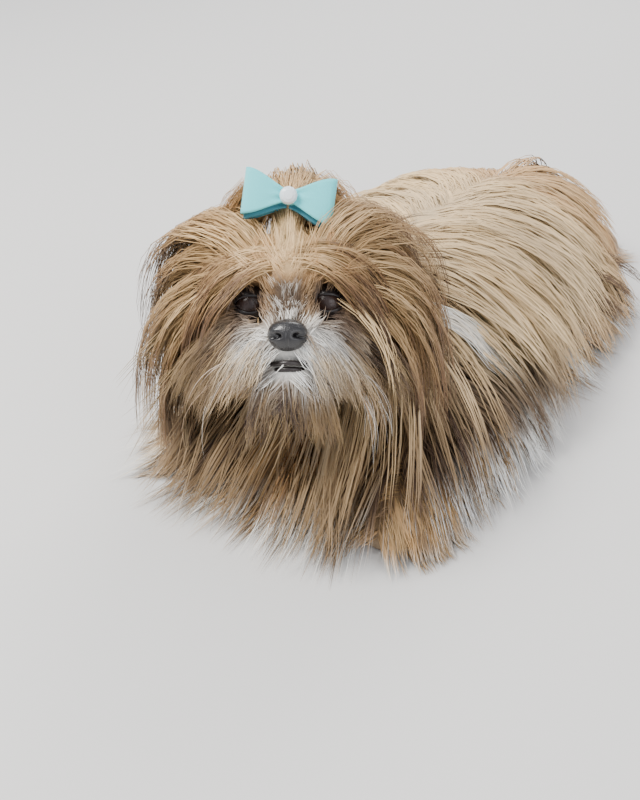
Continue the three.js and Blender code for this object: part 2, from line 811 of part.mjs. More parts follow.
// The neck with the chest's hair.
const mane = [];
for (let i = 0; i < 9; i++) {
  const turned = THREE.MathUtils.degToRad(-140 + 35 * i);
  const tier = i % 2;
  const centre = tier ? [-4, -186, 118] : [-1, -158, 112];
  const way = [Math.sin(turned), -Math.cos(turned), -0.2];
  mane.push(
    lock([centre[0] + 34 * way[0], centre[1] + 34 * way[1], centre[2] + 4], FLESH.neck, way, {
      length: 118 + wander(i, 10),
      steps: 4,
      weight: 0.4,
      clear: 8 + 5 * tier,
      width: 42,
      thick: 5,
    }),
  );
}
node("neck", COLOURS.tan, (grow) =>
  solid(skinOver(FLESH.neck, LINES.neck, { around: 12, along: 8, grow: grow + 4 })), mane,
);

/** The model: cores cut clear of those before them, and locks cut clear of all other nodes. */
function assemble() {
  const group = new THREE.Group();
  const near = (a, b) => {
    const p = a.boundingBox();
    const q = b.boundingBox();
    return [0, 1, 2].every((k) => p.min[k] <= q.max[k] && p.max[k] >= q.min[k]);
  };
  const clearOf = (made, others) => {
    let left = made;
    for (const other of others) {
      if (near(left, other)) left = left.subtract(other);
    }
    return left;
  };
  const grownCores = [];
  const cores = [];
  for (const { make } of nodes) {
    const core = largest(clearOf(make(0).simplify(SLIVER), grownCores).intersect(aboveFloor));
    cores.push(core);
    grownCores.push(make(GAP).add(core).simplify(SLIVER));
  }
  const grownLocks = [];
  nodes.forEach(({ name, colour, locks }, i) => {
    let made = cores[i];
    if (locks.length > 0) {
      const hair = joined(locks.map((one) => lockSolid(one, 0))).simplify(TIDY);
      const others = grownCores.filter((_, k) => k !== i);
      made = made.add(clearOf(hair, [...others, ...grownLocks]));
      made = largest(largest(made.intersect(aboveFloor)).simplify(SLIVER));
      grownLocks.push(joined(locks.map((one) => lockSolid(one, GAP))).add(hair).simplify(SLIVER));
    }
    const mesh = new THREE.Mesh(geometryOf(made), finish(colour));
    mesh.name = name;
    group.add(mesh);
  });
  return group;
}

export default assemble();
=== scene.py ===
"""Dresses the solids of a long-coated toy dog that lies on its belly and looks up at the camera."""

import logging
import math
from dataclasses import dataclass, field
from enum import Enum
from typing import Callable, Sequence

import bpy
import numpy as np
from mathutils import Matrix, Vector


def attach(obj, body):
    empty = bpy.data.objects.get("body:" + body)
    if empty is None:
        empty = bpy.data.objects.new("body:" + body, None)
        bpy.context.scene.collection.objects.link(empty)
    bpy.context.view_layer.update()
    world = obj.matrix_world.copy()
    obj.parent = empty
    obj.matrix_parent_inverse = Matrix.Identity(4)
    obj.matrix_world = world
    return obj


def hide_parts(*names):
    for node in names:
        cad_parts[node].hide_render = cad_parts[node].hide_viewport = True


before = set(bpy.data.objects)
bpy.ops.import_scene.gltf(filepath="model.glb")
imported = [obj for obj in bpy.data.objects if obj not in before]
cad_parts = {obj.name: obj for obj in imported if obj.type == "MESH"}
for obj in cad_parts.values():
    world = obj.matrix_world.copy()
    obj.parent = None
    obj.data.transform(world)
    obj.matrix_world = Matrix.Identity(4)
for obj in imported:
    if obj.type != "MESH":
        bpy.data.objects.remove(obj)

log = logging.getLogger("dog")
MM = 0.001
SIDES = {"left": 1, "right": -1}
SEED = 7
Array = np.ndarray
Lines = tuple[Array, Array, Array]


class Hue(Enum):
    """Colours of the coat and of what the dog wears, as they look on a screen."""

    CREAM = (0.95, 0.82, 0.62)
    SILVER = (0.90, 0.79, 0.62)
    ROSE = (0.74, 0.58, 0.42)
    GOLD = (0.83, 0.63, 0.41)
    TAN = (0.70, 0.57, 0.39)
    RUST = (0.56, 0.36, 0.19)
    SMOKE = (0.42, 0.35, 0.29)
    BROWN = (0.25, 0.17, 0.13)
    GREY = (0.68, 0.64, 0.60)
    WHITE = (0.99, 0.98, 0.95)

    @property
    def rgb(self) -> Array:
        """The colour in linear light."""
        c = np.array(self.value)
        return np.where(c <= 0.04045, c / 12.92, ((c + 0.055) / 1.055) ** 2.4)


CREAM, SILVER, ROSE, GOLD, TAN, RUST, SMOKE, BROWN, GREY, WHITE = (hue.rgb for hue in Hue)


def xyz(x: Array | float, y: Array | float, z: Array | float) -> Array:
    """Points or directions from their three parts, with a single number repeated for all."""
    return np.stack(np.broadcast_arrays(x, y, z), -1)


def unit(v: Array) -> Array:
    """Vectors of length one along the last axis, v / |v|."""
    return v / np.maximum(np.linalg.norm(v, axis=-1, keepdims=True), 1e-9)


def smooth(a: float, b: float, x: Array) -> Array:
    """A soft step, t * t * (3 - 2 t) with t = (x - a) / (b - a) kept within 0 and 1."""
    t = np.clip((x - a) / (b - a), 0, 1)
    return t * t * (3 - 2 * t)


def mix(a: Array, b: Array, k: Array) -> Array:
    """Blends colour a into colour b by a share k, a + (b - a) k."""
    return a + (b - a) * np.asarray(k)[..., None]


class HeadAxes:
    """The head's own axes: x to the dog's left, y forwards along the face, z up through the crown."""

    AT = np.array([-7.5, -231.7, 153.4])
    YAW, PITCH, ROLL = (math.radians(v) for v in (29.2, 33.4, 1.5))

    def __init__(self) -> None:
        """Turns the head's yaw, pitch and roll into its three axes, one a row."""
        y, p, r = self.YAW, self.PITCH, self.ROLL
        forward = np.array([math.sin(y) * math.cos(p), -math.cos(y) * math.cos(p), math.sin(p)])
        left = np.array([math.cos(y), math.sin(y), 0.0])
        up = np.cross(forward, left)
        rolled = left * math.cos(r) + up * math.sin(r)
        self.rows = np.array([rolled, forward, up * math.cos(r) - left * math.sin(r)])

    def out(self, points: Sequence) -> Array:
        """Points along the head's axes, in the part's frame."""
        return self.AT + np.asarray(points, float) @ self.rows

    def way(self, ways: Sequence) -> Array:
        """Directions along the head's axes, in the part's frame."""
        return np.asarray(ways, float) @ self.rows

    def into(self, points: Array) -> Array:
        """Points of the part's frame, along the head's axes."""
        return (points - self.AT) @ self.rows.T


HEAD = HeadAxes()
EYE = np.array([25.0, 37.0, 8.0])
EYE_RADIUS = 10.6
NOSE = np.array([0.0, 71.0, -12.0])
EAR = np.array([46.0, -8.0, 24.0])
TIE = np.array([0.0, 3.0, 58.0])
BOW = np.array([0.0, 14.0, 80.0])
HEM_SIDE, HEM_FRONT, HEM_BEHIND, HEM_TOP = 176.0, 324.0, 338.0, 256.0
HEM_POWERS = (2.6, 5.0)


@dataclass(frozen=True)
class Mass:
    """One muscle mass, an ellipsoid in millimetres.

    Attributes:
        centre: Its middle.
        radii: Its half-sizes.
        rows: The axes that the half-sizes follow.
    """

    centre: Array
    radii: Array
    rows: Array = field(default_factory=lambda: np.eye(3))


def body_mass(centre: Sequence[float], radii: Sequence[float]) -> Mass:
    """A mass along the part's axes."""
    return Mass(np.array(centre, float), np.array(radii, float))


def head_mass(centre: Sequence[float], radii: Sequence[float]) -> Mass:
    """A mass along the head's axes."""
    return Mass(HEAD.out(centre), np.array(radii, float), HEAD.rows)


def limb(side: int) -> dict[str, Array]:
    """A side's limbs as stations of place and two half-widths.

    Args:
        side: 1 for the dog's left, -1 for its right.

    Returns:
        Stations by limb.
    """
    rows = {
        "foreleg": [(70, -84, 30, 25, 25), (82, -120, 25, 22, 22), (85, -160, 19, 18, 18),
                    (84, -196, 16, 15, 15), (83, -220, 14, 14, 14)],
        "forepaw": [(83, -220, 14, 14, 13), (82, -236, 11, 16, 10), (82, -254, 8, 11, 7)],
        "hindpaw": [(98, 128, 12, 13, 11), (102, 96, 11, 16, 12), (103, 62, 8, 12, 9)],
    }
    return {k: np.array(v, float) * [side, 1, 1, 1, 1] for k, v in rows.items()}


TAIL = np.array([(0, 146, 80, 11), (4, 168, 92, 10), (20, 184, 95, 9), (44, 198, 85, 9),
                 (72, 222, 58, 8), (98, 254, 30, 6)], float)


def along_path(stations: Array, count: int) -> Array:
    """A smooth line through stations.

    Args:
        stations: Place, and any sizes after it.
        count: How many points.

    Returns:
        Catmull-Rom points evenly spaced in the stations' count.
    """
    s = np.vstack([2 * stations[0] - stations[1], stations, 2 * stations[-1] - stations[-2]])
    t = np.linspace(0, len(stations) - 1 - 1e-9, count)
    i = t.astype(int)
    f = (t - i)[:, None]
    a, b, c, d = s[i], s[i + 1], s[i + 2], s[i + 3]
    return 0.5 * (2 * b + (c - a) * f + (2 * a - 5 * b + 4 * c - d) * f**2 + (3 * b - a - 3 * c + d) * f**3)


def flesh_masses() -> dict[str, list[Mass]]:
    """All muscle masses by the part that they shape.

    Returns:
        Masses by name.
    """
    made = {
        "torso": [body_mass(*m) for m in (
            ((0, -95, 66), (60, 80, 76)), ((0, -20, 68), (64, 90, 74)), ((0, 60, 64), (60, 75, 68)),
            ((0, 112, 58), (60, 56, 62)), ((0, -85, 105), (38, 60, 42)))],
        "neck": [body_mass((-1, -150, 108), (44, 46, 48)), body_mass((-4, -185, 122), (40, 44, 42))],
        "head": [head_mass(*m) for m in (
            ((0, 0, 4), (48, 52, 42)), ((0, 26, 14), (38, 28, 28)), ((28, 22, -14), (22, 28, 22)),
            ((-28, 22, -14), (22, 28, 22)), ((0, 46, -15), (27, 25, 15)))],
        "jaw": [head_mass((0, 28, -44), (22, 34, 10)), head_mass((0, 52, -42), (16, 13, 8))],
        "tail": [body_mass(s[:3], s[[3, 3, 3]]) for s in along_path(TAIL, 14)],
    }
    for name, side in SIDES.items():
        made[f"hindleg_{name}"] = [body_mass((side * 66, 92, 44), (36, 58, 44)),
                                   body_mass((side * 84, 60, 26), (26, 34, 26))]
        for kind, stations in limb(side).items():
            made[f"{kind}_{name}"] = [body_mass(s[:3], (s[3], s[3], s[4])) for s in along_path(stations, 9)]
    return made


class Field:
    """How far any point is from the skin, read from a grid of samples.

    d = -b ln(sum over masses of exp(-d_i / b)), where d_i = a (a - 1) / c, a = |q / r| and c = |q / r^2|.
    """

    LOW, HIGH, PITCH, BLEND = np.array([-230.0, -400, -30]), np.array([230.0, 360, 320]), 5.0, 6.0

    def __init__(self, masses: list[Mass]) -> None:
        """Samples the distance, and the way out, that the masses give together."""
        self.size = ((self.HIGH - self.LOW) / self.PITCH).astype(int) + 1
        axes = [self.LOW[k] + self.PITCH * np.arange(self.size[k]) for k in range(3)]
        total = np.zeros(self.size)
        for m in masses:
            reach = m.radii.max() + 70
            cut = [slice(*np.searchsorted(axis, (c - reach, c + reach))) for axis, c in zip(axes, m.centre)]
            grid = np.stack(np.meshgrid(*[axis[c] for axis, c in zip(axes, cut)], indexing="ij"), -1)
            q = (grid - m.centre) @ m.rows.T
            a = np.linalg.norm(q / m.radii, axis=-1)
            c = np.linalg.norm(q / m.radii**2, axis=-1)
            d = np.where(c < 1e-9, -m.radii.min(), a * (a - 1) / np.maximum(c, 1e-9))
            total[tuple(cut)] += np.exp(-np.minimum(d, 200) / self.BLEND)
        self.d = -self.BLEND * np.log(np.maximum(total, 1e-6))
        slopes = np.stack(np.gradient(self.d, self.PITCH), -1)
        self.both = np.concatenate([self.d[..., None], unit(slopes)], -1)

    def read(self, p: Array) -> tuple[Array, Array]:
        """Distance and way out at points.

        Args:
            p: Points, in millimetres.

        Returns:
            The distances, negative inside, and the unit vectors that point out.
        """
        shape = p.shape[:-1]
        g = np.clip((p.reshape(-1, 3) - self.LOW) / self.PITCH, 0, np.array(self.size) - 1.001)
        i = g.astype(int)
        f = g - i
        got = np.zeros((len(g), 4))
        for k in range(8):
            o = np.array([k >> 2 & 1, k >> 1 & 1, k & 1])
            w = np.prod(np.where(o, f, 1 - f), -1)
            j = i + o
            got += w[:, None] * self.both[j[:, 0], j[:, 1], j[:, 2]]
        return got[:, 0].reshape(shape), unit(got[:, 1:]).reshape(*shape, 3)

    def exits(self, centres: Array, rays: Array, far: float = 190.0) -> Array:
        """Where rays from inside first leave the skin.

        Args:
            centres: Starting points.
            rays: Unit directions.
            far: How far to look.

        Returns:
            Points on the skin.
        """
        steps = np.arange(0, far, 4.0)
        d = np.stack([self.read(centres + rays * s)[0] for s in steps], -1)
        out = np.argmax(d > 0, -1)
        low, high = steps[np.maximum(out - 1, 0)], steps[out]
        for _ in range(9):
            middle = (low + high) / 2
            inside = self.read(centres + rays * middle[:, None])[0] < 0
            low, high = np.where(inside, middle, low), np.where(inside, high, middle)
        return centres + rays * low[:, None]


class Sock:
    """A shader socket that builds maths nodes from Python's own operators."""

    def __init__(self, shader: "Shader", socket: bpy.types.NodeSocket) -> None:
        """Keeps a socket with the shader that it belongs to."""
        self.shader, self.socket = shader, socket

    def _math(self, operation: str, *terms: "Sock | float") -> "Sock":
        """The result of a maths node on these terms."""
        return self.shader.node("ShaderNodeMath", *terms, operation=operation)

    def __add__(self, other: "Sock | float") -> "Sock":
        """This value plus another."""
        return self._math("ADD", self, other)

    def __mul__(self, other: "Sock | float") -> "Sock":
        """This value times another."""
        return self._math("MULTIPLY", self, other)

    __radd__, __rmul__ = __add__, __mul__


class Shader:
    """A material's node tree, written as expressions."""

    def __init__(self, name: str) -> None:
        """Starts a material with its principled shader."""
        self.material = bpy.data.materials.new(name)
        self.material.use_nodes = True
        self.tree = self.material.node_tree
        self.main = self.tree.nodes["Principled BSDF"]

    def node(self, kind: str, *terms: "Sock | float", out: int | str = 0, **facts: object) -> Sock:
        """Adds any node.

        Args:
            kind: Its class.
            terms: What its inputs take, in order.
            out: Which output is wanted.
            facts: Its settings, and named inputs given as Sock or number.

        Returns:
            The output asked for.
        """
        made = self.tree.nodes.new(kind)
        for key, value in facts.items():
            if hasattr(made, key):
                setattr(made, key, value)
            else:
                self.feed(made.inputs[key], value)
        for socket, value in zip(made.inputs, terms):
            self.feed(socket, value)
        return Sock(self, made.outputs[out])

    def feed(self, socket: bpy.types.NodeSocket, value: "Sock | float | Sequence[float]") -> None:
        """Connects or sets an input.

        Args:
            socket: The input.
            value: Another socket's value or a constant.
        """
        if isinstance(value, Sock):
            self.tree.links.new(value.socket, socket)
        else:
            socket.default_value = value

    def noise(self, scale: float, detail: float) -> Sock:
        """Noise near 0.5 over the object's own coordinates, with its cells a metre and its octaves."""
        where = self.node("ShaderNodeTexCoord", out="Object")
        return self.node("ShaderNodeTexNoise", Vector=where, Scale=scale, Detail=detail)

    def tinted(self, base: Sock, factor: Sock) -> Sock:
        """A colour made lighter or darker by a factor."""
        return self.node("ShaderNodeVectorMath", base, factor, operation="MULTIPLY")


COAT_ROUGHNESS = 0.04


@dataclass(frozen=True)
class Finish:
    """A finish with one colour, or the piece's own colours.

    Attributes:
        name: The material's name.
        colour: Linear colour, or None to read the piece's shade attribute.
        roughness: Principled roughness.
        coat: Clear coat weight.
        grain: How much a fine noise changes the colour.
        grain_scale: The noise's cells a metre.
        bump: Depth of the noise as relief, in metres.
        metallic: Principled metallic.
        sheen: Sheen weight.
    """

    name: str
    colour: tuple[float, float, float] | None = None
    roughness: float = 0.5
    coat: float = 0.0
    grain: float = 0.0
    grain_scale: float = 900.0
    bump: float = 0.0
    metallic: float = 0.0
    sheen: float = 0.0

    def material(self) -> bpy.types.Material:
        """Makes the material, or gives the one that was made before.

        Returns:
            The material.
        """
        if self.name in bpy.data.materials:
            return bpy.data.materials[self.name]
        shader = Shader(self.name)
        ins = shader.main.inputs
        grain = shader.noise(self.grain_scale, 3.0)
        if self.colour is None:
            base = shader.node("ShaderNodeAttribute", attribute_name="shade", out="Color")
        else:
            base = shader.node("ShaderNodeRGB")
            base.socket.default_value = (*self.colour, 1.0)
        shader.feed(ins["Base Color"], shader.tinted(base, grain * (2 * self.grain) + (1 - self.grain)))
        for key, value in (("Roughness", self.roughness), ("Coat Weight", self.coat),
                           ("Coat Roughness", COAT_ROUGHNESS), ("Metallic", self.metallic),
                           ("Sheen Weight", self.sheen)):
            ins[key].default_value = value
        if self.bump:
            shader.feed(ins["Normal"], shader.node("ShaderNodeBump", Height=grain, Distance=self.bump,
                                                   Strength=1.0, out="Normal"))
        return shader.material


HAIR = Finish("coat hair", roughness=0.58, grain=0.10, grain_scale=420.0)
SKIN = Finish("skin", roughness=0.75, grain=0.25, grain_scale=500.0, bump=0.0004)
LEATHER = Finish("nose leather", (0.008, 0.007, 0.008), 0.30, coat=0.5, grain=0.4, grain_scale=1500.0,
                 bump=0.0003)
RIM = Finish("lid and lip", (0.018, 0.012, 0.011), 0.42, coat=0.2)
EYEBALL = Finish("eye", None, 0.12, coat=1.0)
FELT = Finish("ribbon felt", (0.16, 0.80, 0.86), 0.9, grain=0.12, grain_scale=2600.0, bump=0.0003,
              sheen=0.4)
# The same felt made darker: painted shade for the underside of each loop's fold, on a layer that lies behind
# and below.
FELT_SHADED = Finish("ribbon felt shaded", (0.05, 0.27, 0.36), 0.9, grain=0.2, grain_scale=2600.0, bump=0.0003,
                   sheen=0.3)
STONE = Finish("stone", (0.62, 0.72, 0.80), 0.04, coat=1.0, metallic=0.55)
FLOOR = Finish("floor", (0.80, 0.79, 0.77), 0.75)


def put_mesh(name: str, places: Array, faces: Array, finish: Finish, shade: Array | None = None,
             flat: bool = False) -> bpy.types.Object:
    """Makes an object from arrays.

    Args:
        name: Its name.
        places: Vertices, in millimetres.
        faces: Vertex numbers of triangles or quads.
        finish: Its finish.
        shade: Linear colour of each vertex.
        flat: True for flat facets.

    Returns:
        The object, with its place in its mesh.
    """
    mesh = bpy.data.meshes.new(name)
    mesh.from_pydata((places * MM).tolist(), [], faces.tolist())
    mesh.polygons.foreach_set("use_smooth", np.full(len(mesh.polygons), not flat))
    if shade is not None:
        give_shade(mesh, shade)
    mesh.materials.append(finish.material())
    made = bpy.data.objects.new(name, mesh)
    bpy.context.scene.collection.objects.link(made)
    log.info("%s: %d vertices, %d faces", name, len(places), len(faces))
    return made


def give_shade(mesh: bpy.types.Mesh, shade: Array) -> None:
    """Gives a mesh its linear colour by vertex."""
    layer = mesh.color_attributes.new("shade", "FLOAT_COLOR", "POINT")
    opaque = np.ones((len(shade), 1))
    layer.data.foreach_set("color", np.concatenate([np.clip(shade, 0, 1), opaque], 1).ravel())


def grid_faces(rows: int, columns: int) -> Array:
    """Triangles of a tube of rings, closed by a pole vertex at each end.

    Args:
        rows: Rings.
        columns: Points a ring.

    Returns:
        Triangles that face out where the rings run anticlockwise seen from the last ring.
    """
    i = np.arange(rows - 1)[:, None] * columns
    k = np.arange(columns)[None, :]
    n = (k + 1) % columns
    a, b, c, d = i + k, i + n, i + columns + n, i + columns + k
    made = [np.stack([a, b, c], -1).reshape(-1, 3), np.stack([a, c, d], -1).reshape(-1, 3)]
    k, n, last = k[0], n[0], (rows - 1) * columns
    return np.concatenate(made + [xyz(rows * columns, n, k), xyz(rows * columns + 1, last + k, last + n)])


def tube(line: Array, widths: Array, facing: Array, around: int) -> tuple[Array, Array]:
    """A closed round or flat tube along a line.

    p(t, a) = line(t) + w(t) cos(a) across(t) + h(t) sin(a) over(t), drawn in to a point at both ends.

    Args:
        line: Points along the middle.
        widths: Two half-widths at each point.
        facing: The way that the second half-width faces.
        around: Points a ring.

    Returns:
        Vertices and triangles.
    """
    ahead = unit(np.gradient(line, axis=0))
    across = unit(np.cross(ahead, facing))
    over = np.cross(across, ahead)
    a = np.arange(around) * 2 * np.pi / around
    ring = (line[:, None] + widths[:, :1, None] * across[:, None] * np.cos(a)[None, :, None]
            + widths[:, 1:, None] * over[:, None] * np.sin(a)[None, :, None])
    poles = np.stack([line[k] + s * ahead[k] * widths[k].min() * 0.6 for k, s in ((0, -1), (-1, 1))])
    faces = grid_faces(len(line), around)[:, ::-1]
    return np.concatenate([ring.reshape(-1, 3), poles]), faces


def ball(centre: Array, radii: Sequence[float], rows: Array, around: int, along: int,
         shape: Callable[[Array], Array] | None = None) -> tuple[Array, Array, Array]:
    """A closed ball with a radius that may vary.

    p(u) = centre + shape(u) (r x u) for unit directions u on rings about the forward axis.

    Args:
        centre: Its middle.
        radii: Half-sizes along its axes.
        rows: Its axes.
        around: Points a ring.
        along: Rings.
        shape: Factor of the radius by direction.

    Returns:
        Vertices, triangles and the directions.
    """
    b = np.pi * (np.arange(along) + 1) / (along + 1)
    a = np.arange(around) * 2 * np.pi / around
    u = xyz(np.sin(b)[:, None] * np.cos(a), -np.cos(b)[:, None], np.sin(b)[:, None] * np.sin(a))
    u = np.concatenate([u.reshape(-1, 3), [[0, -1, 0], [0, 1, 0]]])
    size = np.ones(len(u)) if shape is None else shape(u)
    return centre + (u * np.array(radii) * size[:, None]) @ rows, grid_faces(along, around)[:, ::-1], u


class Comber:
    """Lets hair fall: it bends under its weight, rides over the body and comes to lie on the floor."""

    FLOOR = 1.2
    SPREAD_BELOW = 125.0

    def __init__(self, body: Field, rng: np.random.Generator) -> None:
        """Keeps the body's form and the random source."""
        self.body, self.rng = body, rng

    def rooted(self, start: Array, ray: Array, far: float = 190.0) -> tuple[Array, Array]:
        """Roots where rays from inside the body leave its skin, and the ways out there."""
        roots = self.body.exits(start, ray, far)
        return roots, self.body.read(roots)[1]

    def head_roots(self, start: Array, ray: Array) -> tuple[Array, Array]:
        """Roots and ways out for rays from inside the head, given along the head's axes."""
        return self.rooted(HEAD.out(start), HEAD.way(unit(ray)), 120.0)

    def fall(self, roots: Array, ways: Array, length: Array, steps: int, weight: Array | float,
             clear: Array, spread: Array | float = 0.0, pull: Array | None = None) -> Array:
        """The lines of guide hairs.

        Args:
            roots: Where they root.
            ways: The way that each leaves.
            length: Length of each.
            steps: Points after the root.
            weight: How strongly each bends down at every step.
            clear: How far each rides over the skin.
            spread: How much further near the floor.
            pull: A way that each is drawn along.

        Returns:
            Points, with one row for each guide.
        """
        p, ahead = roots.copy(), unit(ways)
        step = (length / steps)[:, None]
        line = [p]
        for i in range(1, steps + 1):
            ahead = ahead.copy()
            ahead[:, 2] -= weight * min(1, 0.4 + i / steps) * (6 / steps)
            if pull is not None:
                ahead += pull * (2 / steps)
            ahead = unit(ahead)
            q = p + ahead * step
            ramp = min(1.0, 0.25 + 1.4 * i / steps)
            for _ in range(3):
                wanted = clear * ramp + spread * np.clip(1 - q[:, 2] / self.SPREAD_BELOW, 0, 1) * ramp
                d, out = self.body.read(q)
                q = q + out * np.maximum(wanted - d, 0)[:, None]
                q[:, 2] = np.maximum(q[:, 2], self.FLOOR)
            ahead = unit(q - p)
            p = p + ahead * step
            p[:, 2] = np.maximum(p[:, 2], self.FLOOR)
            line.append(p)
        return np.stack(line, 1)


@dataclass
class Coat:
    """One region of the coat: guide hairs, and the finer ones round each that make a lock.

    Attributes:
        name: The name of its pieces.
        slot: The name of a material slot; not used.
        guides: Number of guide hairs.
        per: Hairs round each guide.
        steps: Points along a guide.
        width: Width of a hair, in millimetres.
        lock: Radius of a lock at its root.
        clump: How far a lock closes towards its tip, from 0 to 1.
        wave: Waviness, in millimetres.
        ragged: How much shorter a lock's shortest hair is.
        most: Most triangles of a piece.
        soft: Share of the skin's normal in a hair's own, which makes locks look like one fleece.
        hole: Radius of the place before each eye that stays clear, or 0 to keep all hairs.
        stray: Share of the hairs there that stay all the same.
    """

    name: str
    slot: str
    guides: int
    per: int
    steps: int
    width: float
    lock: float
    clump: float
    wave: float
    ragged: float
    most: int = 180_000
    soft: float = 0.62
    hole: float = 0.0
    stray: float = 0.0
    ROOT_DEPTH, SKIN_GAP, FLOOR_GAP, PATCH = 1.5, 0.8, 0.7, 0.003

    def lines(self, comber: Comber) -> Lines:
        """Guide lines.

        Args:
            comber: What lets them fall.

        Returns:
            The lines, each root's place on the unwrap, and the way out at each root.
        """
        raise NotImplementedError

    def shade(self, roots: Array, t: Array, tone: Array, at: Array) -> Array:
        """Colour along hairs.

        Args:
            roots: Root of each hair.
            t: Share of the way to the tip.
            tone: A random number for each lock.
            at: Points along each hair.

        Returns:
            Linear colours.
        """
        raise NotImplementedError

    def keep(self, hairs: Array, rng: np.random.Generator) -> Array:
        """True for each hair that stays."""
        return clear_of_face(hairs, rng, self.stray, self.hole) if self.hole else np.ones(len(hairs), bool)

    def grow(self, comber: Comber) -> list[bpy.types.Object]:
        """Builds the region's pieces.

        Args:
            comber: What lets its hair fall.

        Returns:
            The pieces.
        """
        rng = comber.rng
        lines, uv, normal = self.lines(comber)
        count, points = lines.shape[:2]
        side = unit(np.cross(normal, [0.31, 0.17, 0.93]))
        other = np.cross(normal, side)
        r = self.lock * np.sqrt(rng.random((count, self.per)))
        a = rng.random((count, self.per)) * 2 * np.pi
        off = (r * np.cos(a))[..., None] * side[:, None] + (r * np.sin(a))[..., None] * other[:, None]
        share = 1 - self.ragged * rng.random((count, self.per))
        t = np.linspace(0, 1, points)
        at = share[..., None] * t * (points - 1)
        i = np.minimum(at.astype(int), points - 2)
        f = (at - i)[..., None]
        rows = np.arange(count)[:, None, None]
        hairs = lines[rows, i] * (1 - f) + lines[rows, i + 1] * f
        close = 1 - self.clump * t**0.8
        hairs = hairs + off[:, :, None] * close[None, None, :, None]
        phase = rng.random((count, self.per, 1, 3)) * 2 * np.pi
        swing = np.sin(phase + t[None, None, :, None] * rng.uniform(3, 8, (count, self.per, 1, 1)))
        hairs = hairs + self.wave * swing * t[None, None, :, None]
        tone = np.repeat(rng.random(count), self.per)
        fine = rng.random(count * self.per)
        hairs = hairs.reshape(-1, points, 3)
        beside = (off @ np.array([0.003, 0.002, 0.001])).reshape(-1, 1) * [1, 0.6] * 0.1
        uv = np.repeat(uv, self.per, 0) + beside
        d, out = comber.body.read(hairs)
        low = np.where(np.arange(points) == 0, -self.ROOT_DEPTH, self.SKIN_GAP)
        hairs = hairs + out * np.maximum(low - d, 0)[..., None]
        hairs[..., 2] = np.maximum(hairs[..., 2], self.FLOOR_GAP)
        hairs = self.trimmed(hairs, rng)
        stay = self.keep(hairs, rng)
        hairs, tone, fine, uv = hairs[stay], tone[stay], fine[stay], uv[stay]
        return self.build(hairs, tone, fine, np.clip(uv, 0.002, 0.995), comber)

    @staticmethod
    def trimmed(hairs: Array, rng: np.random.Generator) -> Array:
        """Shortens hairs that reach past the coat's hem on the floor.

        The hem is |x / side|^p + |y / front|^p = 1 in front, with one power p on the left and another
        on the right, and straight along the sides and behind.

        Args:
            hairs: Points along each hair.
            rng: The random source.

        Returns:
            The hairs, each with as many points as before.
        """
        n, points = hairs.shape[:2]
        play = rng.uniform(0.94, 1.03, (n, 1))
        x, y, z = np.abs(hairs[..., 0]), hairs[..., 1], hairs[..., 2]
        p = np.where(hairs[..., 0] > 0, *HEM_POWERS)
        front = (x / HEM_SIDE) ** p + (np.maximum(-y, 0) / HEM_FRONT) ** p
        reach = np.maximum(front ** (1 / p), np.maximum(y / HEM_BEHIND, z / HEM_TOP)) / play
        out = reach > 1
        first = np.where(out.any(1), np.argmax(out, 1), points - 1)
        i = np.maximum(first - 1, 0)
        rows = np.arange(n)
        a, b = reach[rows, i], reach[rows, first]
        part = np.where(out.any(1), np.clip((1 - a) / np.maximum(b - a, 1e-6), 0, 1), 1.0)
        limit = np.maximum((i + part) / (points - 1), 0.15)
        at = np.linspace(0, 1, points) * limit[:, None] * (points - 1)
        k = np.minimum(at.astype(int), points - 2)
        f = (at - k)[..., None]
        return hairs[rows[:, None], k] * (1 - f) + hairs[rows[:, None], k + 1] * f

    def build(self, hairs: Array, tone: Array, fine: Array, uv: Array,
              comber: Comber) -> list[bpy.types.Object]:
        """Turns hairs to solid three-sided blades that taper to their tips.

        ring(t) = p(t) + w(t) / 2 (+-across, over), with w(t) = w0 (0.6 + 0.4 min(1, 4 t)) sqrt(1 - t^2.4).

        Args:
            hairs: Points along each hair.
            tone: A random number for each lock.
            fine: A random number for each hair.
            uv: Each root's place on the unwrap.
            comber: What holds the body's form.

        Returns:
            The pieces, none with more triangles than allowed.
        """
        n, points = hairs.shape[:2]
        t = np.linspace(0, 1, points)
        ahead = unit(np.gradient(hairs, axis=1))
        out = comber.body.read(hairs)[1]
        low = np.clip(1 - hairs[..., 2:] / 20, 0, 1)
        out = out * (1 - low) + np.array([0, 0, 1.0]) * low
        across = unit(np.cross(ahead, out))
        over = np.cross(across, ahead)
        taper = (0.6 + 0.4 * np.minimum(1, 4 * t)) * np.sqrt(1 - t**2.4)
        size = self.width * (0.75 + 0.5 * fine)[:, None] * taper
        w = size[:, :-1, None]
        body = hairs[:, :-1]
        ring = np.stack([body + across[:, :-1] * w * 0.5, body + over[:, :-1] * w * 0.5,
                         body - across[:, :-1] * w * 0.5], 2)
        verts = np.concatenate([ring.reshape(n, -1, 3), hairs[:, -1:]], 1)
        per = verts.shape[1]
        rings = points - 1
        one = [[0, 1, 2]]
        for i in range(rings - 1):
            for k in range(3):
                a, b = i * 3 + k, i * 3 + (k + 1) % 3
                one += [[a, a + 3, b + 3], [a, b + 3, b]]
        last = (rings - 1) * 3
        one += [[last + k, rings * 3, last + (k + 1) % 3] for k in range(3)]
        one = np.array(one)
        when = np.concatenate([np.repeat(t[:-1], 3), [1.0]])
        each = (n, per)
        colours = self.shade(hairs[:, :1].repeat(per, 1), np.broadcast_to(when, each),
                             np.broadcast_to(tone[:, None], each), verts)
        colours = colours * (0.86 + 0.28 * fine[:, None, None])
        round_it = np.stack([across[:, :-1], over[:, :-1], -across[:, :-1]], 2).reshape(n, -1, 3)
        round_it = np.concatenate([round_it, over[:, -1:]], 1)
        lay = np.concatenate([out[:, :-1].repeat(3, 1), out[:, -1:]], 1)
        normals = unit(self.soft * lay + (1 - self.soft) * round_it)
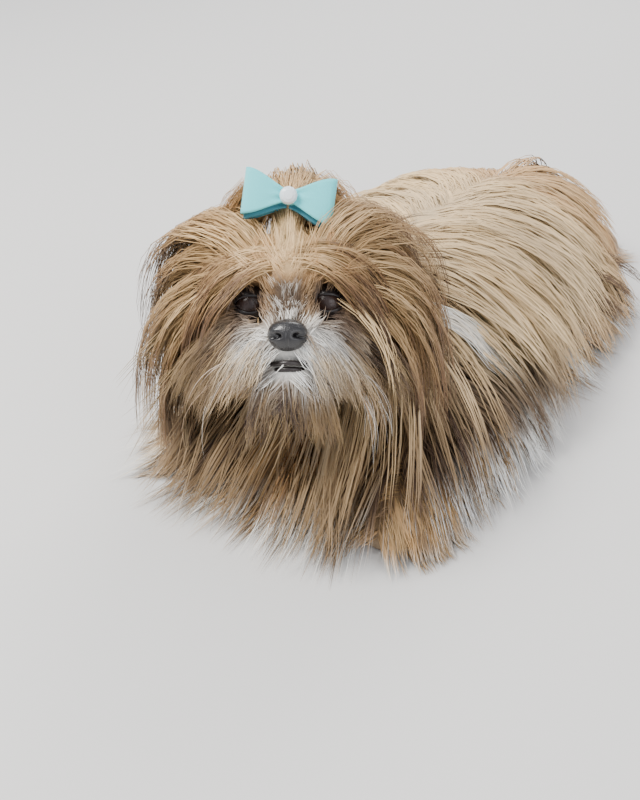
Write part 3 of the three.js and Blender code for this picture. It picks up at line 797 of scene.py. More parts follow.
        patch = np.stack([np.concatenate([np.tile([0, 0.5, 1], rings), [0.5]]), when], -1) * self.PATCH
        places = uv[:, None] + patch[None]
        chunk = max(1, self.most // len(one))
        made = []
        for part, start in enumerate(range(0, n, chunk)):
            pick = slice(start, start + chunk)
            v, c, m, w = (a[pick] for a in (verts, colours, places, normals))
            faces = (one[None] + (np.arange(len(v)) * per)[:, None, None]).reshape(-1, 3)
            name = self.name if n <= chunk else f"{self.name}_{part + 1}"
            made.append(self.piece(name, v.reshape(-1, 3), faces, c.reshape(-1, 3), m.reshape(-1, 2),
                                   w.reshape(-1, 3)))
        return made

    @staticmethod
    def piece(name: str, verts: Array, faces: Array, shade: Array, uv: Array,
              normals: Array) -> bpy.types.Object:
        """One mesh of many blades.

        Args:
            name: Its name.
            verts: Vertices, in millimetres.
            faces: Triangles.
            shade: Linear colour of each vertex.
            uv: Each vertex's place on the unwrap.
            normals: Each vertex's normal, between the blade's own and that of the skin below.

        Returns:
            The object.
        """
        mesh = bpy.data.meshes.new(name)
        mesh.vertices.add(len(verts))
        mesh.vertices.foreach_set("co", (verts * MM).astype(np.float32).ravel())
        mesh.loops.add(faces.size)
        mesh.loops.foreach_set("vertex_index", faces.astype(np.int32).ravel())
        mesh.polygons.add(len(faces))
        mesh.polygons.foreach_set("loop_start", np.arange(0, faces.size, 3, dtype=np.int32))
        mesh.polygons.foreach_set("use_smooth", np.ones(len(faces), bool))
        mesh.update(calc_edges=True)
        mesh.normals_split_custom_set_from_vertices(normals)
        give_shade(mesh, shade)
        layer = mesh.uv_layers.new(name="OFBake")
        layer.data.foreach_set("uv", uv[faces.ravel()].astype(np.float32).ravel())
        mesh.materials.append(HAIR.material())
        made = bpy.data.objects.new(name, mesh)
        bpy.context.scene.collection.objects.link(made)
        log.info("%s: %d triangles", name, len(faces))
        return made


def scatter(rng: np.random.Generator, count: int) -> Array:
    """Unit directions spread evenly, with a little play.

    Args:
        rng: The random source.
        count: How many.

    Returns:
        Directions on a golden-angle spiral.
    """
    k = np.arange(count) + 0.5
    z = 1 - 2 * k / count
    a = k * 2.399963 + rng.normal(0, 0.15, count)
    s = np.sqrt(1 - z * z)
    return xyz(s * np.cos(a), z, s * np.sin(a))


def in_turn(count: int) -> Array:
    """Sides of the dog in turn, -1 first."""
    return np.where(np.arange(count) % 2, 1.0, -1.0)


def painted_root_shade(colours: Array, t: Array, dark: float, until: float) -> Array:
    """Painted shade among the hairs: darkens hairs by a factor at the root, less and less until a share of
    the way.
    """
    return colours * (dark + (1 - dark) * smooth(0, until, t))[..., None]


def clear_of_face(hairs: Array, rng: np.random.Generator, share: float, size: float) -> Array:
    """Which hairs don't hang before the eyes, the mouth or the nose.

    Args:
        hairs: Points along each hair.
        rng: The random source.
        share: Share that stays before the eyes.
        size: Radius of the clear place before each eye.

    Returns:
        True for each that stays.
    """
    p = HEAD.into(hairs)
    bad = np.zeros(len(hairs), bool)
    for side in SIDES.values():
        at = EYE * [side, 1, 1] + [0, 9, -1]
        bad |= (np.linalg.norm((p - at) * [1, 0.5, 1.1], axis=-1) < size).any(1)
    mouth = (np.linalg.norm((p - [0, 71, -32]) * [0.34, 0.5, 1.8], axis=-1) < 5).any(1)
    nose = (np.linalg.norm((p - [0, 76, -12]) * [0.8, 0.6, 0.95], axis=-1) < 8.5).any(1)
    stay = np.ones(len(hairs), bool)
    for hidden, spared in ((bad, share), (mouth, 0.05), (nose, 0.04)):
        stay &= ~hidden | (rng.random(len(hairs)) < spared)
    return stay


def unwrap(u: Array) -> Array:
    """A direction's place on its region's unwrap, (angle / 2 pi, polar angle / pi)."""
    around = np.arctan2(u[:, 2], u[:, 0]) / (2 * np.pi) + 0.5
    return np.stack([around, np.arccos(np.clip(u[:, 1], -1, 1)) / np.pi], -1)


def body_shade(at: Array, height: Array, tone: Array) -> Array:
    """The markings of the body's coat, which skin and hair share.

    Args:
        at: Where the colour is read.
        height: Height of the point, in millimetres.
        tone: A random number for each lock.

    Returns:
        Linear colours.
    """
    x, y = at[..., 0], at[..., 1]
    c = mix(CREAM, SILVER, 0.5 + 0.5 * np.sin(y / 23 + tone * 3))
    c = mix(c, ROSE, 0.8 * smooth(85, 25, height) * (0.5 + 0.5 * tone))
    c = mix(c, SMOKE, 0.35 * smooth(0.72, 1.0, tone) * smooth(110, 60, height))
    shoulder = smooth(-50, -95, y) * smooth(105, 65, height)
    c = mix(c, mix(BROWN * 1.3, SMOKE * 0.8, tone), 0.85 * shoulder)
    c = mix(c, GOLD, 0.7 * smooth(70, 150, y))
    c = mix(c, TAN, 0.5 * smooth(-120, -170, y))
    front = smooth(-60, -120, y) * smooth(0.45, 0.75, tone)
    c = mix(c, WHITE, smooth(22, 6, height) * np.maximum(0.55 * smooth(0.6, 0.9, tone), front))
    elbow = smooth(-40, -75, y) * smooth(-190, -150, y) * smooth(30, 50, x) * smooth(52, 26, height)
    return mix(c, WHITE, elbow * smooth(0.3, 0.55, tone))


@dataclass
class BodyCoat(Coat):
    """The long coat of the back, sides, rump and chest, parted along the spine."""

    def lines(self, comber: Comber) -> Lines:
        """Guides over the trunk, a third of them along the spine, that lean out and back.

        See Coat for Args and Returns.
        """
        rng = comber.rng
        u = scatter(rng, int(self.guides * 1.35))
        u = u[u[:, 2] > -0.42][: self.guides]
        n = len(u)
        crest = rng.random(n) < 0.34
        u[crest] = unit(xyz(0.11 * rng.normal(size=n), 2.6 * (rng.random(n) - 0.5), 1))[crest]
        roots = comber.body.exits(xyz(0, -10 + 100 * u[:, 1], 58), u)
        side = np.where(roots[:, 0] >= 0, 1.0, -1.0)
        roots[:, 0] = np.where(np.abs(roots[:, 0]) < 4, side * 5 * rng.random(n) - 1.5 * side, roots[:, 0])
        normal = comber.body.read(roots)[1]
        y, z = roots[:, 1], roots[:, 2]
        ways = xyz(side, 0.16 + 0.0014 * (y + 60) + 0.1 * np.sin(y / 31), -0.1)
        ways[crest] = ways[crest] * [0.5, 1, 1] + [0, 0.75, 0]
        rump, chest = smooth(120, 160, y), smooth(-140, -172, y)
        ways = ways + rump[:, None] * xyz(-0.6 * side, 1.2, 0) + chest[:, None] * xyz(-0.7 * side, -1, -0.3)
        tier = rng.random(n)
        ways = unit(ways) + np.where(crest, 0.1 + 0.25 * tier, 0.35)[:, None] * normal
        withers = smooth(-10, -90, y) * smooth(90, 130, z)
        length = (1.12 * z + 46) * rng.uniform(0.84, 1.04, n) * (1 - 0.2 * rump + 0.25 * chest)
        pull = chest[:, None] * np.array([0, -0.9, 0.1]) + crest[:, None] * xyz(0.5 * side, 0, 0)
        lines = comber.fall(roots - 1.5 * normal, ways, length, self.steps, 0.30 + 0.12 * tier,
                            3 + 13 * tier + 12 * withers * tier, (6 + 26 * tier) * (1 - 0.6 * chest), pull)
        return lines, unwrap(u), normal

    def shade(self, roots: Array, t: Array, tone: Array, at: Array) -> Array:
        """The body's markings, with painted shade at the root; see Coat for Args and Returns."""
        return painted_root_shade(body_shade(roots, at[..., 2], tone), t, 0.68, 0.2)


@dataclass
class NeckCoat(Coat):
    """The mane of the neck and throat, which falls over the shoulders and the chest."""

    def lines(self, comber: Comber) -> Lines:
        """Guides round the neck that lean down and outwards, and forwards on the throat.

        See Coat for Args and Returns.
        """
        rng = comber.rng
        u = scatter(rng, int(self.guides * 1.3))
        u = u[np.abs(u[:, 1]) < 0.8][: self.guides]
        roots, normal = comber.rooted(np.array([-2.0, -166, 112]) + np.array([-2.0, -24, 8]) * u[:, 1:2], u)
        tier = rng.random(len(u))
        ways = normal * 0.7 + np.array([0, 0.1, -0.5]) + xyz(0.3 * np.sign(u[:, 0]), 0, 0)
        front = smooth(-150, -190, roots[:, 1])
        length = (np.clip(roots[:, 2] * 0.8, 56, 106) + 12 * front) * rng.uniform(0.75, 1.05, len(u))
        lines = comber.fall(roots - 1.5 * normal, ways, length, self.steps, 0.45, 4 + 11 * tier, 6 * tier,
                            xyz(0, -0.25 * front, 0))
        return lines, unwrap(u), normal

    def shade(self, roots: Array, t: Array, tone: Array, at: Array) -> Array:
        """Tan and gold, cream near the head, smoky beside the chest; see Coat for Args and Returns."""
        c = mix(TAN, GOLD, tone)
        c = mix(c, CREAM, 0.9 * smooth(115, 150, roots[..., 2]))
        side = smooth(16, 44, np.abs(at[..., 0] - 10))
        c = mix(c, SMOKE * 0.55, smooth(0.2, 0.55, tone) * (0.05 + 0.95 * side) * smooth(135, 95, at[..., 2]))
        c = mix(c, BROWN, 0.8 * smooth(66, 40, at[..., 2]) * smooth(0.7, 0.3, tone))
        # Painted shade at the roots, where the hairs shade each other.
        return painted_root_shade(c, t, 0.6, 0.25)


@dataclass
class EarCoat(Coat):
    """The long hair that hangs from one ear.

    Attributes:
        side: 1 for the dog's left, -1 for its right.
    """

    side: int = 1

    def lines(self, comber: Comber) -> Lines:
        """Guides over a leaf that bulges from the side of the head and hang straight down.

        See Coat for Args and Returns.
        """
        rng, left = comber.rng, self.side > 0
        s, down = rng.random(self.guides), rng.random(self.guides) ** 1.3
        out, lean = HEAD.way([self.side, 0, 0]), HEAD.way([0, 1, 0])
        bulge = (12 + 8 * np.sin(np.pi * s) + 10 * down) * (1.0 if left else 0.7)
        roots = HEAD.out(EAR * [self.side, 1, 1]) + out * bulge[:, None] + lean * (46 * s - 24)[:, None]
        roots = roots - xyz(0, 6 * down, 52 * down - 4)
        ways = xyz(0.35 * out[0], 0.35 * out[1] - 0.2 * s, 0.5 * (down < 0.1) - 0.9)
        tier = rng.random(self.guides)
        length = (186 - 50 * down) * rng.uniform(0.82, 1.04, self.guides)
        lines = comber.fall(roots, ways, length, self.steps, 0.62, 8 + (12 if left else 5) * tier, 3 * tier)
        return lines, np.stack([s, down], -1) * 0.9 + 0.05, np.broadcast_to(out, roots.shape)

    def shade(self, roots: Array, t: Array, tone: Array, at: Array) -> Array:
        """Gold and tan with an auburn streak inside and smoky ends; see Coat for Args and Returns."""
        c = mix(GOLD, TAN, 0.5 + 0.5 * tone)
        auburn = smooth(0, 26, HEAD.into(roots)[..., 1] + 6) * (0.9 if self.side > 0 else 0.4)
        c = mix(c, RUST * 0.7, auburn * smooth(0.2, 0.5, t) * (0.5 + 0.5 * tone))
        c = mix(c, SMOKE * 0.5, smooth(0.4, 0.85, t) * (0.45 + 0.55 * tone))
        return mix(c, CREAM, 0.8 * smooth(0.85, 1.0, tone) * (1 - 0.6 * t))


@dataclass
class CrownCoat(Coat):
    """The hair of the crown's sides, which parts at the topknot and falls like a curtain over the ears."""

    hole: float = 11.0
    stray: float = 0.12

    def lines(self, comber: Comber) -> Lines:
        """Guides on both sides of the crown that go out and fall past the ears.

        See Coat for Args and Returns.
        """
        rng, n = comber.rng, self.guides
        side = in_turn(n)
        s, k = rng.random(n), rng.random(n)
        ray = xyz(side * (0.45 + 0.65 * k), 0.62 - 1.25 * s, 0.95 - 0.75 * k)
        roots, normal = comber.head_roots(np.array([0, 4.0, 4.0]), ray)
        tier = rng.random(n)
        way = xyz(side * (0.42 + 0.2 * k), 0.1 - 0.35 * s, 1.2 - 1.55 * k)
        lines = comber.fall(roots, HEAD.way(way) + 0.3 * normal, rng.uniform(118, 182, n), self.steps,
                            0.66 + 0.34 * k, 5 + np.where(side > 0, 16, 7) * tier, 3 * tier)
        return lines, np.stack([s, k], -1) * 0.9 + 0.05, normal

    def shade(self, roots: Array, t: Array, tone: Array, at: Array) -> Array:
        """Tan and cream, auburn inside, smoky ends, and a white streak behind on the left.

        See Coat for Args and Returns.
        """
        along = HEAD.into(roots)[..., 1]
        c = mix(TAN, GOLD, 0.5 * tone)
        c = mix(c, CREAM, 0.65 * smooth(0.3, 1.0, tone) * (1 - 0.5 * t))
        c = mix(c, RUST * 0.6, 0.85 * smooth(10, 34, along) * smooth(0.3, 0.7, t))
        c = mix(c, SMOKE * 0.5, smooth(0.5, 0.9, t) * (0.4 + 0.6 * (1 - tone)))
        streak = smooth(-26, -33, along) * (roots[..., 0] > HEAD.AT[0])
        return mix(c, WHITE, 0.85 * streak * smooth(0.1, 0.3, t))


@dataclass
class FringeCoat(CrownCoat):
    """The hair of the forehead, which parts under the topknot and falls past the eyes' outer corners."""

    hole: float = 10.5
    stray: float = 0.05

    def lines(self, comber: Comber) -> Lines:
        """Guides across the brow that part in the middle and curve outwards.

        See Coat for Args and Returns.
        """
        rng, n = comber.rng, self.guides
        side = in_turn(n)
        s, k = rng.random(n), rng.random(n)
        place = xyz(side * (3 + 27 * s), 36 - 8 * s + 8 * k, 50 - 24 * k - 5 * s)
        middle = np.array([0, 8.0, 6.0])
        roots, normal = comber.head_roots(middle, place - middle)
        way = xyz(side * (0.8 + 0.3 * s), 0.35 - 0.35 * s, 0.25 - 0.35 * k)
        length = rng.uniform(56, 118, n)
        lines = comber.fall(roots, HEAD.way(way) + 0.25 * normal, length, self.steps, 0.62 + 0.2 * k,
                            3 + 11 * rng.random(n))
        return lines, np.stack([s, k], -1) * 0.9 + 0.05, normal


@dataclass
class TailCoat(Coat):
    """The plume of the tail, which falls to the dog's left and behind."""

    def lines(self, comber: Comber) -> Lines:
        """Guides round the tail's line that follow it and fan to the left and behind.

        See Coat for Args and Returns.
        """
        rng, n = comber.rng, self.guides
        middle = along_path(TAIL, 200)
        s = 0.06 + 0.94 * rng.random(n)
        i = (s * 199).astype(int)
        ahead = unit(np.gradient(middle[:, :3], axis=0))[i]
        a = rng.random(n) * 2 * np.pi
        one = unit(np.cross(ahead, [0.2, 0.1, 1.0]))
        ring = one * np.cos(a)[:, None] + np.cross(one, ahead) * np.sin(a)[:, None]
        roots = middle[i, :3] + ring * middle[i, 3:]
        wish = xyz(0.45 + 0.5 * np.cos(a * 2), 0.65 + 0.35 * np.sin(a), 0.15)
        ways = (0.05 + 0.3 * smooth(0.1, 0.4, s))[:, None] * ring + 0.55 * wish + 0.8 * ahead
        ways[:, 2] -= 0.35 + 0.9 * smooth(0.5, 0, s)
        tier = rng.random(n)
        length = rng.uniform(80, 122, n) * (1 - 0.25 * s)
        lines = comber.fall(roots, ways, length, self.steps, 0.40, 1 + 5 * tier)
        return lines, np.stack([s, a / (2 * np.pi)], -1), ring

    def shade(self, roots: Array, t: Array, tone: Array, at: Array) -> Array:
        """Gold and cream with a white end; see Coat for Args and Returns."""
        c = mix(GOLD, CREAM, 0.6 * tone)
        c = mix(c, TAN, smooth(0.7, 1, tone) * 0.7)
        # Painted shade at the roots, where the hairs shade each other.
        return painted_root_shade(mix(c, WHITE, 0.9 * smooth(240, 300, at[..., 1])), t, 0.6, 0.25)


@dataclass
class LimbCoat(Coat):
    """The coat of one limb.

    Attributes:
        limbs: Names of the limb's parts.
        side: 1 for the dog's left, -1 for its right.
        reach: Length of its hair.
        ahead: The way that the hair leans.
    """

    limbs: tuple[str, ...] = ("foreleg", "forepaw")
    side: int = 1
    reach: float = 50.0
    ahead: tuple[float, float, float] = (0.2, -0.7, -0.1)

    def stations(self) -> Array:
        """The line along the limb, as stations of place and half-width."""
        return np.concatenate([limb(self.side)[k] for k in self.limbs])

    def lines(self, comber: Comber) -> Lines:
        """Guides over the upper half of the limb that lean with it and outwards.

        See Coat for Args and Returns.
        """
        rng, n = comber.rng, self.guides
        line = along_path(self.stations(), 160)
        s = np.maximum(rng.random(n), rng.random(n))
        start = line[(s * 159).astype(int), :3]
        a = rng.uniform(-0.3, np.pi + 0.3, n)
        ray = xyz(np.cos(a), rng.uniform(-0.7, 0.3, n) * (1 + 1.5 * (s > 0.93)), np.sin(a))
        roots, normal = comber.rooted(start, unit(ray), 90.0)
        tier = rng.random(n)
        outer = xyz(0.6 * np.sign((roots - start)[:, 0]), 0, 0)
        ways = 0.5 * normal + np.array(self.ahead) * [self.side, 1, 1] + outer
        length = self.reach * rng.uniform(0.7, 1.1, n) * (1 - 0.25 * s)
        length = length * np.where((roots - start)[:, 0] * self.side > 0, 1.35, 0.8)
        lines = comber.fall(roots - normal, ways, length, self.steps, 0.34, 2 + 8 * tier)
        return lines, np.stack([s, a / 7 + 0.1], -1), normal

    def shade(self, roots: Array, t: Array, tone: Array, at: Array) -> Array:
        """Tan and gold with white tips near the floor; see Coat for Args and Returns."""
        c = mix(TAN, GOLD, 0.5 * tone)
        c = mix(c, SMOKE, 0.6 * smooth(0.75, 1.0, tone))
        tips = smooth(0.35, 1, t) * smooth(16, 5, at[..., 2]) * smooth(0.2, 0.6, tone)
        # Painted shade at the roots, where the hairs shade each other.
        return painted_root_shade(mix(c, WHITE, 0.85 * tips), t, 0.6, 0.3)


@dataclass
class HemCoat(Coat):
    """The fringe of the chest and shoulders, which spreads over the floor round the front."""

    def lines(self, comber: Comber) -> Lines:
        """Guides drawn from the skin towards a rounded hem on the floor, |x / a|^p + |y / b|^p = 1.

        See Coat for Args and Returns.
        """
        rng, n = comber.rng, self.guides
        a = np.radians(rng.uniform(-205, 28, n))
        p = np.where(np.cos(a) > 0, *HEM_POWERS)
        size = (np.abs(np.cos(a)) ** p + np.where(a < 0, np.abs(np.sin(a)), 0) ** p) ** (-1 / p)
        hem = xyz(173 * np.cos(a) * size, 318 * np.sin(a) * size, 3)
        start = xyz(0.12 * hem[:, 0], 0.45 * hem[:, 1], rng.uniform(30, 66, n))
        ray = hem - start
        ray[:, 2] = rng.uniform(-10, 14, n)
        roots, normal = comber.rooted(start, unit(ray))
        away = hem - roots
        length = np.linalg.norm(away, axis=-1) * rng.uniform(1.0, 1.4, n)
        level = unit(away * [1, 1, 0])
        tier = rng.random(n)
        lines = comber.fall(roots - normal, level + np.array([0, 0, 0.5]) + 0.2 * normal, length, self.steps,
                            0.4 + 0.2 * tier, 3 + 12 * tier, 0.0, level * 0.5)
        return lines, np.stack([a / 4.2 + 0.9, tier], -1) * 0.9, normal

    def shade(self, roots: Array, t: Array, tone: Array, at: Array) -> Array:
        """Tan to rust, cream on the right, smoky above, white at the floor and on the left flank.

        See Coat for Args and Returns.
        """
        x, z = at[..., 0], at[..., 2]
        c = mix(mix(TAN, GOLD, 0.6 * tone), RUST, 0.35 * smooth(0.55, 0.9, tone))
        c = mix(c, SMOKE, 0.75 * smooth(0.3, 0.1, tone))
        c = mix(c, CREAM, 0.8 * smooth(-40, -110, x) * smooth(0.2, 0.7, tone))
        c = mix(c, mix(BROWN * 1.3, SMOKE * 0.8, tone), 0.85 * smooth(18, 40, z) * smooth(20, 60, np.abs(x)))
        c = mix(c, WHITE, 0.95 * smooth(0.28, 0.55, tone) * smooth(0.45, 0.8, t) * smooth(26, 9, z))
        flank = smooth(92, 116, x) * smooth(0.35, 0.5, tone)
        c = mix(c, WHITE, flank * smooth(0.3, 0.6, t) * smooth(40, 26, z))
        # Painted shade at the roots, where the hairs shade each other.
        return painted_root_shade(c, t, 0.6, 0.3)


@dataclass
class ShoulderLock(Coat):
    """The white lock that falls from behind the left ear over the shoulder."""

    def lines(self, comber: Comber) -> Lines:
        """A few guides from behind the ear that lie back over the shoulder; see Coat for Args and Returns."""
        rng, n = comber.rng, self.guides
        s = rng.random(n)
        ray = unit(xyz(30 + 8 * s, 14 * s - 4, 40 - 6 * s))
        roots, normal = comber.rooted(np.array([20.0, -172, 120]), ray)
        ways = np.array([0.45, 0.8, 0.0]) + 0.3 * normal
        lines = comber.fall(roots, ways, rng.uniform(152, 186, n), self.steps, 0.5, 33 + 6 * s)
        return lines, np.stack([s, s], -1) * 0.9, normal

    def shade(self, roots: Array, t: Array, tone: Array, at: Array) -> Array:
        """White; see Coat for Args and Returns."""
        return mix(WHITE, SILVER, 0.6 * tone)


@dataclass
class ThighCoat(LimbCoat):
    """The coat of one thigh, which falls outwards to the floor."""

    reach: float = 72.0
    ahead: tuple[float, float, float] = (0.5, 0.3, -0.2)

    def stations(self) -> Array:
        """The line through the thigh."""
        return np.array([(66, 120, 44, 40), (70, 92, 44, 40), (82, 62, 30, 28)], float) * [self.side, 1, 1, 1]

    def shade(self, roots: Array, t: Array, tone: Array, at: Array) -> Array:
        """The body's markings, with painted shade at the root; see Coat for Args and Returns."""
        return painted_root_shade(body_shade(roots, at[..., 2], tone), t, 0.6, 0.3)


def bell(x: Array, z: Array, centre: tuple[float, float], reach: tuple[float, float]) -> Array:
    """A round patch that fades, exp(-((x - x0) / a)^2 - ((z - z0) / b)^2)."""
    return np.exp(-(((x - centre[0]) / reach[0]) ** 2 + ((z - centre[1]) / reach[1]) ** 2))


def face_shade(p: Array, tone: Array) -> Array:
    """The markings of the face, which skin and hair share.

    Args:
        p: Points along the head's axes.
        tone: A random number for each lock.

    Returns:
        Linear colours.
    """
    x, y, z = np.abs(p[..., 0]), p[..., 1], p[..., 2]
    c = mix(TAN, GOLD, 0.3 + 0.7 * tone)
    c = mix(c, CREAM, 0.8 * smooth(0.6, 1.0, tone))
    c = mix(c, mix(GREY, WHITE, smooth(0.05, 0.5, tone)), smooth(4, -14, z) * smooth(20, 40, y))
    blaze = smooth(12 + 4 * tone, 5, x) * smooth(30, 42, y) * smooth(-14, -6, z) * smooth(28, 16, z)
    pale = smooth(0.5, 0.85, tone) * (1 - 0.5 * smooth(0, 12, z)) + 0.6 * smooth(4, 0, x) * smooth(2, -8, z)
    c = mix(c, mix(SMOKE * 0.7, WHITE, np.minimum(pale, 1)), 0.9 * blaze)
    c = mix(c, CREAM, 0.6 * smooth(14, 6, x) * smooth(20, 30, z))
    eye_ring = bell(x, z, (25, 7), (15, 13)) * smooth(24, 34, y)
    c = mix(c, BROWN * 0.5, np.minimum(1.25 * eye_ring, 1))
    c = mix(c, BROWN, 0.85 * bell(x, z, (33, -12), (9, 16)) * smooth(14, 26, y))
    c = mix(c, RUST, 0.9 * bell(x, z, (25, -31), (9, 8)) * smooth(20, 34, y))
    dark = mix(BROWN, TAN, tone)
    c = mix(c, dark, 0.75 * smooth(26, 38, x) * smooth(6, -6, z))
    return mix(c, dark, 0.85 * smooth(-38, -44, z))


@dataclass
class FaceCoat(Coat):
    """The short hair of the face and skull, which stands up from the bridge and lies back over the crown."""

    hole: float = 8.4
    stray: float = 0.04

    def lines(self, comber: Comber) -> Lines:
        """Guides over the head whose way blends by place: to the tie, down, back, up or out.

        See Coat for Args and Returns.
        """
        rng = comber.rng
        u = scatter(rng, self.guides)
        centre = np.array([0, 14.0, -4.0]) + np.array([0, 20.0, -6.0]) * u[:, 1:2]
        roots, normal = comber.head_roots(centre, u)
        p = HEAD.into(roots)
        x, y, z = p.T
        side, wide = np.sign(x), np.abs(x)
        muzzle = smooth(0, -14, z) * smooth(24, 40, y)
        cheek = smooth(14, -6, z) * smooth(16, 30, wide) * (1 - muzzle)
        way = (unit(TIE - p) * (1 - muzzle - cheek)[:, None] + xyz(0.8 * side, 0.15, -0.75) * muzzle[:, None]
               + xyz(0.6 * side, -0.5, -0.7) * cheek[:, None])
        bridge = smooth(16, 8, wide) * smooth(30, 44, y) * smooth(-22, -10, z)
        brow = bell(wide, z, (26, 26), (16, 8)) * smooth(24, 34, y)
        nape = smooth(-10, -30, y)
        for there, lie in ((bridge, xyz(x / 16, 0.5, 1)), (brow, xyz(0.55 * side, 0.75, -0.05)),
                           (nape, xyz(0.2 * side, -0.8, -0.1))):
            way = way * (1 - there)[:, None] + lie * there[:, None]
        length = 17 + 18 * smooth(10, 30, z) * (y < 44) + 12 * cheek + 22 * nape
        orbit = bell(wide, z, (25, 6), (13, 11)) * smooth(22, 32, y)
        length = (length - 6 * bridge) * (1 - 0.62 * orbit)
        tier = rng.random(len(u))
        length = length * rng.uniform(0.7, 1.1, len(u))
        lines = comber.fall(roots, HEAD.way(unit(way)) + 0.35 * normal, length, self.steps,
                            0.05 + 0.1 * cheek, 1.5 + 3 * tier)
        off_nose = y < 73
        return lines[off_nose], unwrap(u)[off_nose], normal[off_nose]

    def shade(self, roots: Array, t: Array, tone: Array, at: Array) -> Array:
        """The face's markings, with a little painted shade at the root; see Coat for Args and Returns."""
        return painted_root_shade(face_shade(HEAD.into(roots), tone), t, 0.8, 0.4)


@dataclass
class WhiskerCoat(Coat):
    """The long moustache, beard and cheek hair."""

    hole: float = 9.5
    stray: float = 0.02

    def lines(self, comber: Comber) -> Lines:
        """Guides on lip, cheek and chin, each kind with its own place, way and length.

        See Coat for Args and Returns.
        """
        rng, n = comber.rng, self.guides
        side = in_turn(n)
        kind = rng.random(n)
        s, k = rng.random(n), rng.random(n)
        group, each = np.searchsorted([0.42, 0.75], kind, side="right"), np.arange(n)
        lip = xyz(side * (8 + 20 * s), 68 - 28 * s, -12 - 14 * k)
        cheek = xyz(side * (30 + 16 * s), 32 - 34 * s, -30 + 22 * k)
        chin = xyz(side * 22 * s, 62 - 26 * k, -41.0 - 9 * k)
        middle = np.array([(0, 14.0, -14), (0, 14.0, -14), (0, 24.0, -38)])[group]
        roots, normal = comber.head_roots(middle, np.stack([lip, cheek, chin])[group, each] - middle)
        way = np.stack([xyz(side * (0.62 + 0.35 * s), 0.35 - 0.35 * s, -0.6), xyz(side * 0.75, 0.05, -0.6),
                        xyz(side * 0.35 * s, 0.3, -1)])[group, each]
        tier = rng.random(n)
        length = np.stack([32 + 32 * s, 54 + 18 * k, 34 + 14 * s])[group, each] * rng.uniform(0.8, 1.1, n)
        lines = comber.fall(roots, HEAD.way(way) + 0.3 * normal, length, self.steps, 0.30, 2.5 + 7 * tier)
        return lines, np.stack([s, kind], -1) * 0.9 + 0.05, normal

    def shade(self, roots: Array, t: Array, tone: Array, at: Array) -> Array:
        """The face's markings, with dark chin and cheeks and paler ends; see Coat for Args and Returns."""
        root = HEAD.into(roots)
        chin = smooth(-35, -38, root[..., 2]) * smooth(30, 40, root[..., 1])
        dark = mix(BROWN, TAN * 0.8, tone)
        c = mix(face_shade(root, tone), dark, chin * smooth(0.1, 0.75, t))
        c = mix(c, mix(TAN * 0.6, CREAM, tone), 0.85 * smooth(0.3, 0.85, t) * (1 - chin))
        return mix(c, dark, 0.8 * smooth(22, 36, np.abs(root[..., 0])))


@dataclass
class KnotCoat(Coat):
    """The topknot: hair drawn up from the brow and crown to its tie, then arching over and falling behind."""

    hole: float = 8.0
    stray: float = 0.2

    def lines(self, comber: Comber) -> Lines:
        """Smooth paths from the root up to the tie, and on by one of two arches.

        The middle hairs go back and to the left, the outer ones to their own side. See Coat for Args
        and Returns.
        """
        rng, n = comber.rng, self.guides
        a = rng.random(n) * 2 * np.pi
        r = np.sqrt(rng.uniform(0.15, 1, n))
        ray = xyz(0.85 * r * np.cos(a), 0.85 * r * np.sin(a) + 0.1, 0.75)
        roots, normal = comber.head_roots(np.array([0, 6.0, 6.0]), ray)
        p = HEAD.into(roots)
        neck = TIE + 4.5 * xyz(r * np.cos(a), r * np.sin(a), 0)
        low = (p + neck) / 2 + xyz(0.12 * p[:, 0], 3, 4 - 0.1 * (neck[:, 2] - p[:, 2]))
        fan = np.clip(rng.normal(0, 1, n), -1.9, 1.9)
        lift = rng.uniform(0.6, 1.22, n)
        hand = np.sign(fan) * rng.uniform(0.4, 1.05, n)
        drawn = rng.uniform(6, 26, n)
        above = TIE + xyz(5 * fan + 5 * np.cos(a), -2 + 5 * np.sin(a), 17 + 3 * r)
        apart = smooth(0.15, 0.75, np.abs(fan))[:, None]
        middle = (xyz(6 + 16 * fan, -12 - 8 * lift, 43 * lift),
                  xyz(16 + 23 * fan, -38 * lift - 4, 30 * lift - 6),
                  xyz(23 + 27 * fan, -56 * lift - 6, -12 + 8 * lift),
                  xyz(27 + 30 * fan, -64 * lift - 6, -46 * lift))
        outer = (xyz(28 * hand, -drawn, 36 * lift), xyz(44 * hand, -drawn - 4, 22 * lift),
                 xyz(56 * hand, -drawn - 6, -8 + 6 * lift), xyz(64 * hand, -drawn - 8, -44 + 4 * lift))
        arch = [TIE + m * (1 - apart) + o * apart for m, o in zip(middle, outer)]
        keys = np.stack([p, low, neck, above, *arch]).reshape(8, -1)
        line = along_path(keys, self.steps + 1).reshape(self.steps + 1, n, 3)
        return HEAD.out(line.transpose(1, 0, 2)), np.stack([a / (2 * np.pi), r], -1) * 0.95, normal

    def shade(self, roots: Array, t: Array, tone: Array, at: Array) -> Array:
        """The face's markings that turn to cream, gold and smoke; see Coat for Args and Returns."""
        c = mix(face_shade(HEAD.into(roots), tone), CREAM, 0.55 * smooth(0.15, 0.4, t))
        c = mix(c, GOLD, smooth(0.45, 0.8, t) * 0.8)
        return mix(c, SMOKE, 0.5 * smooth(0.8, 1, t) * tone)


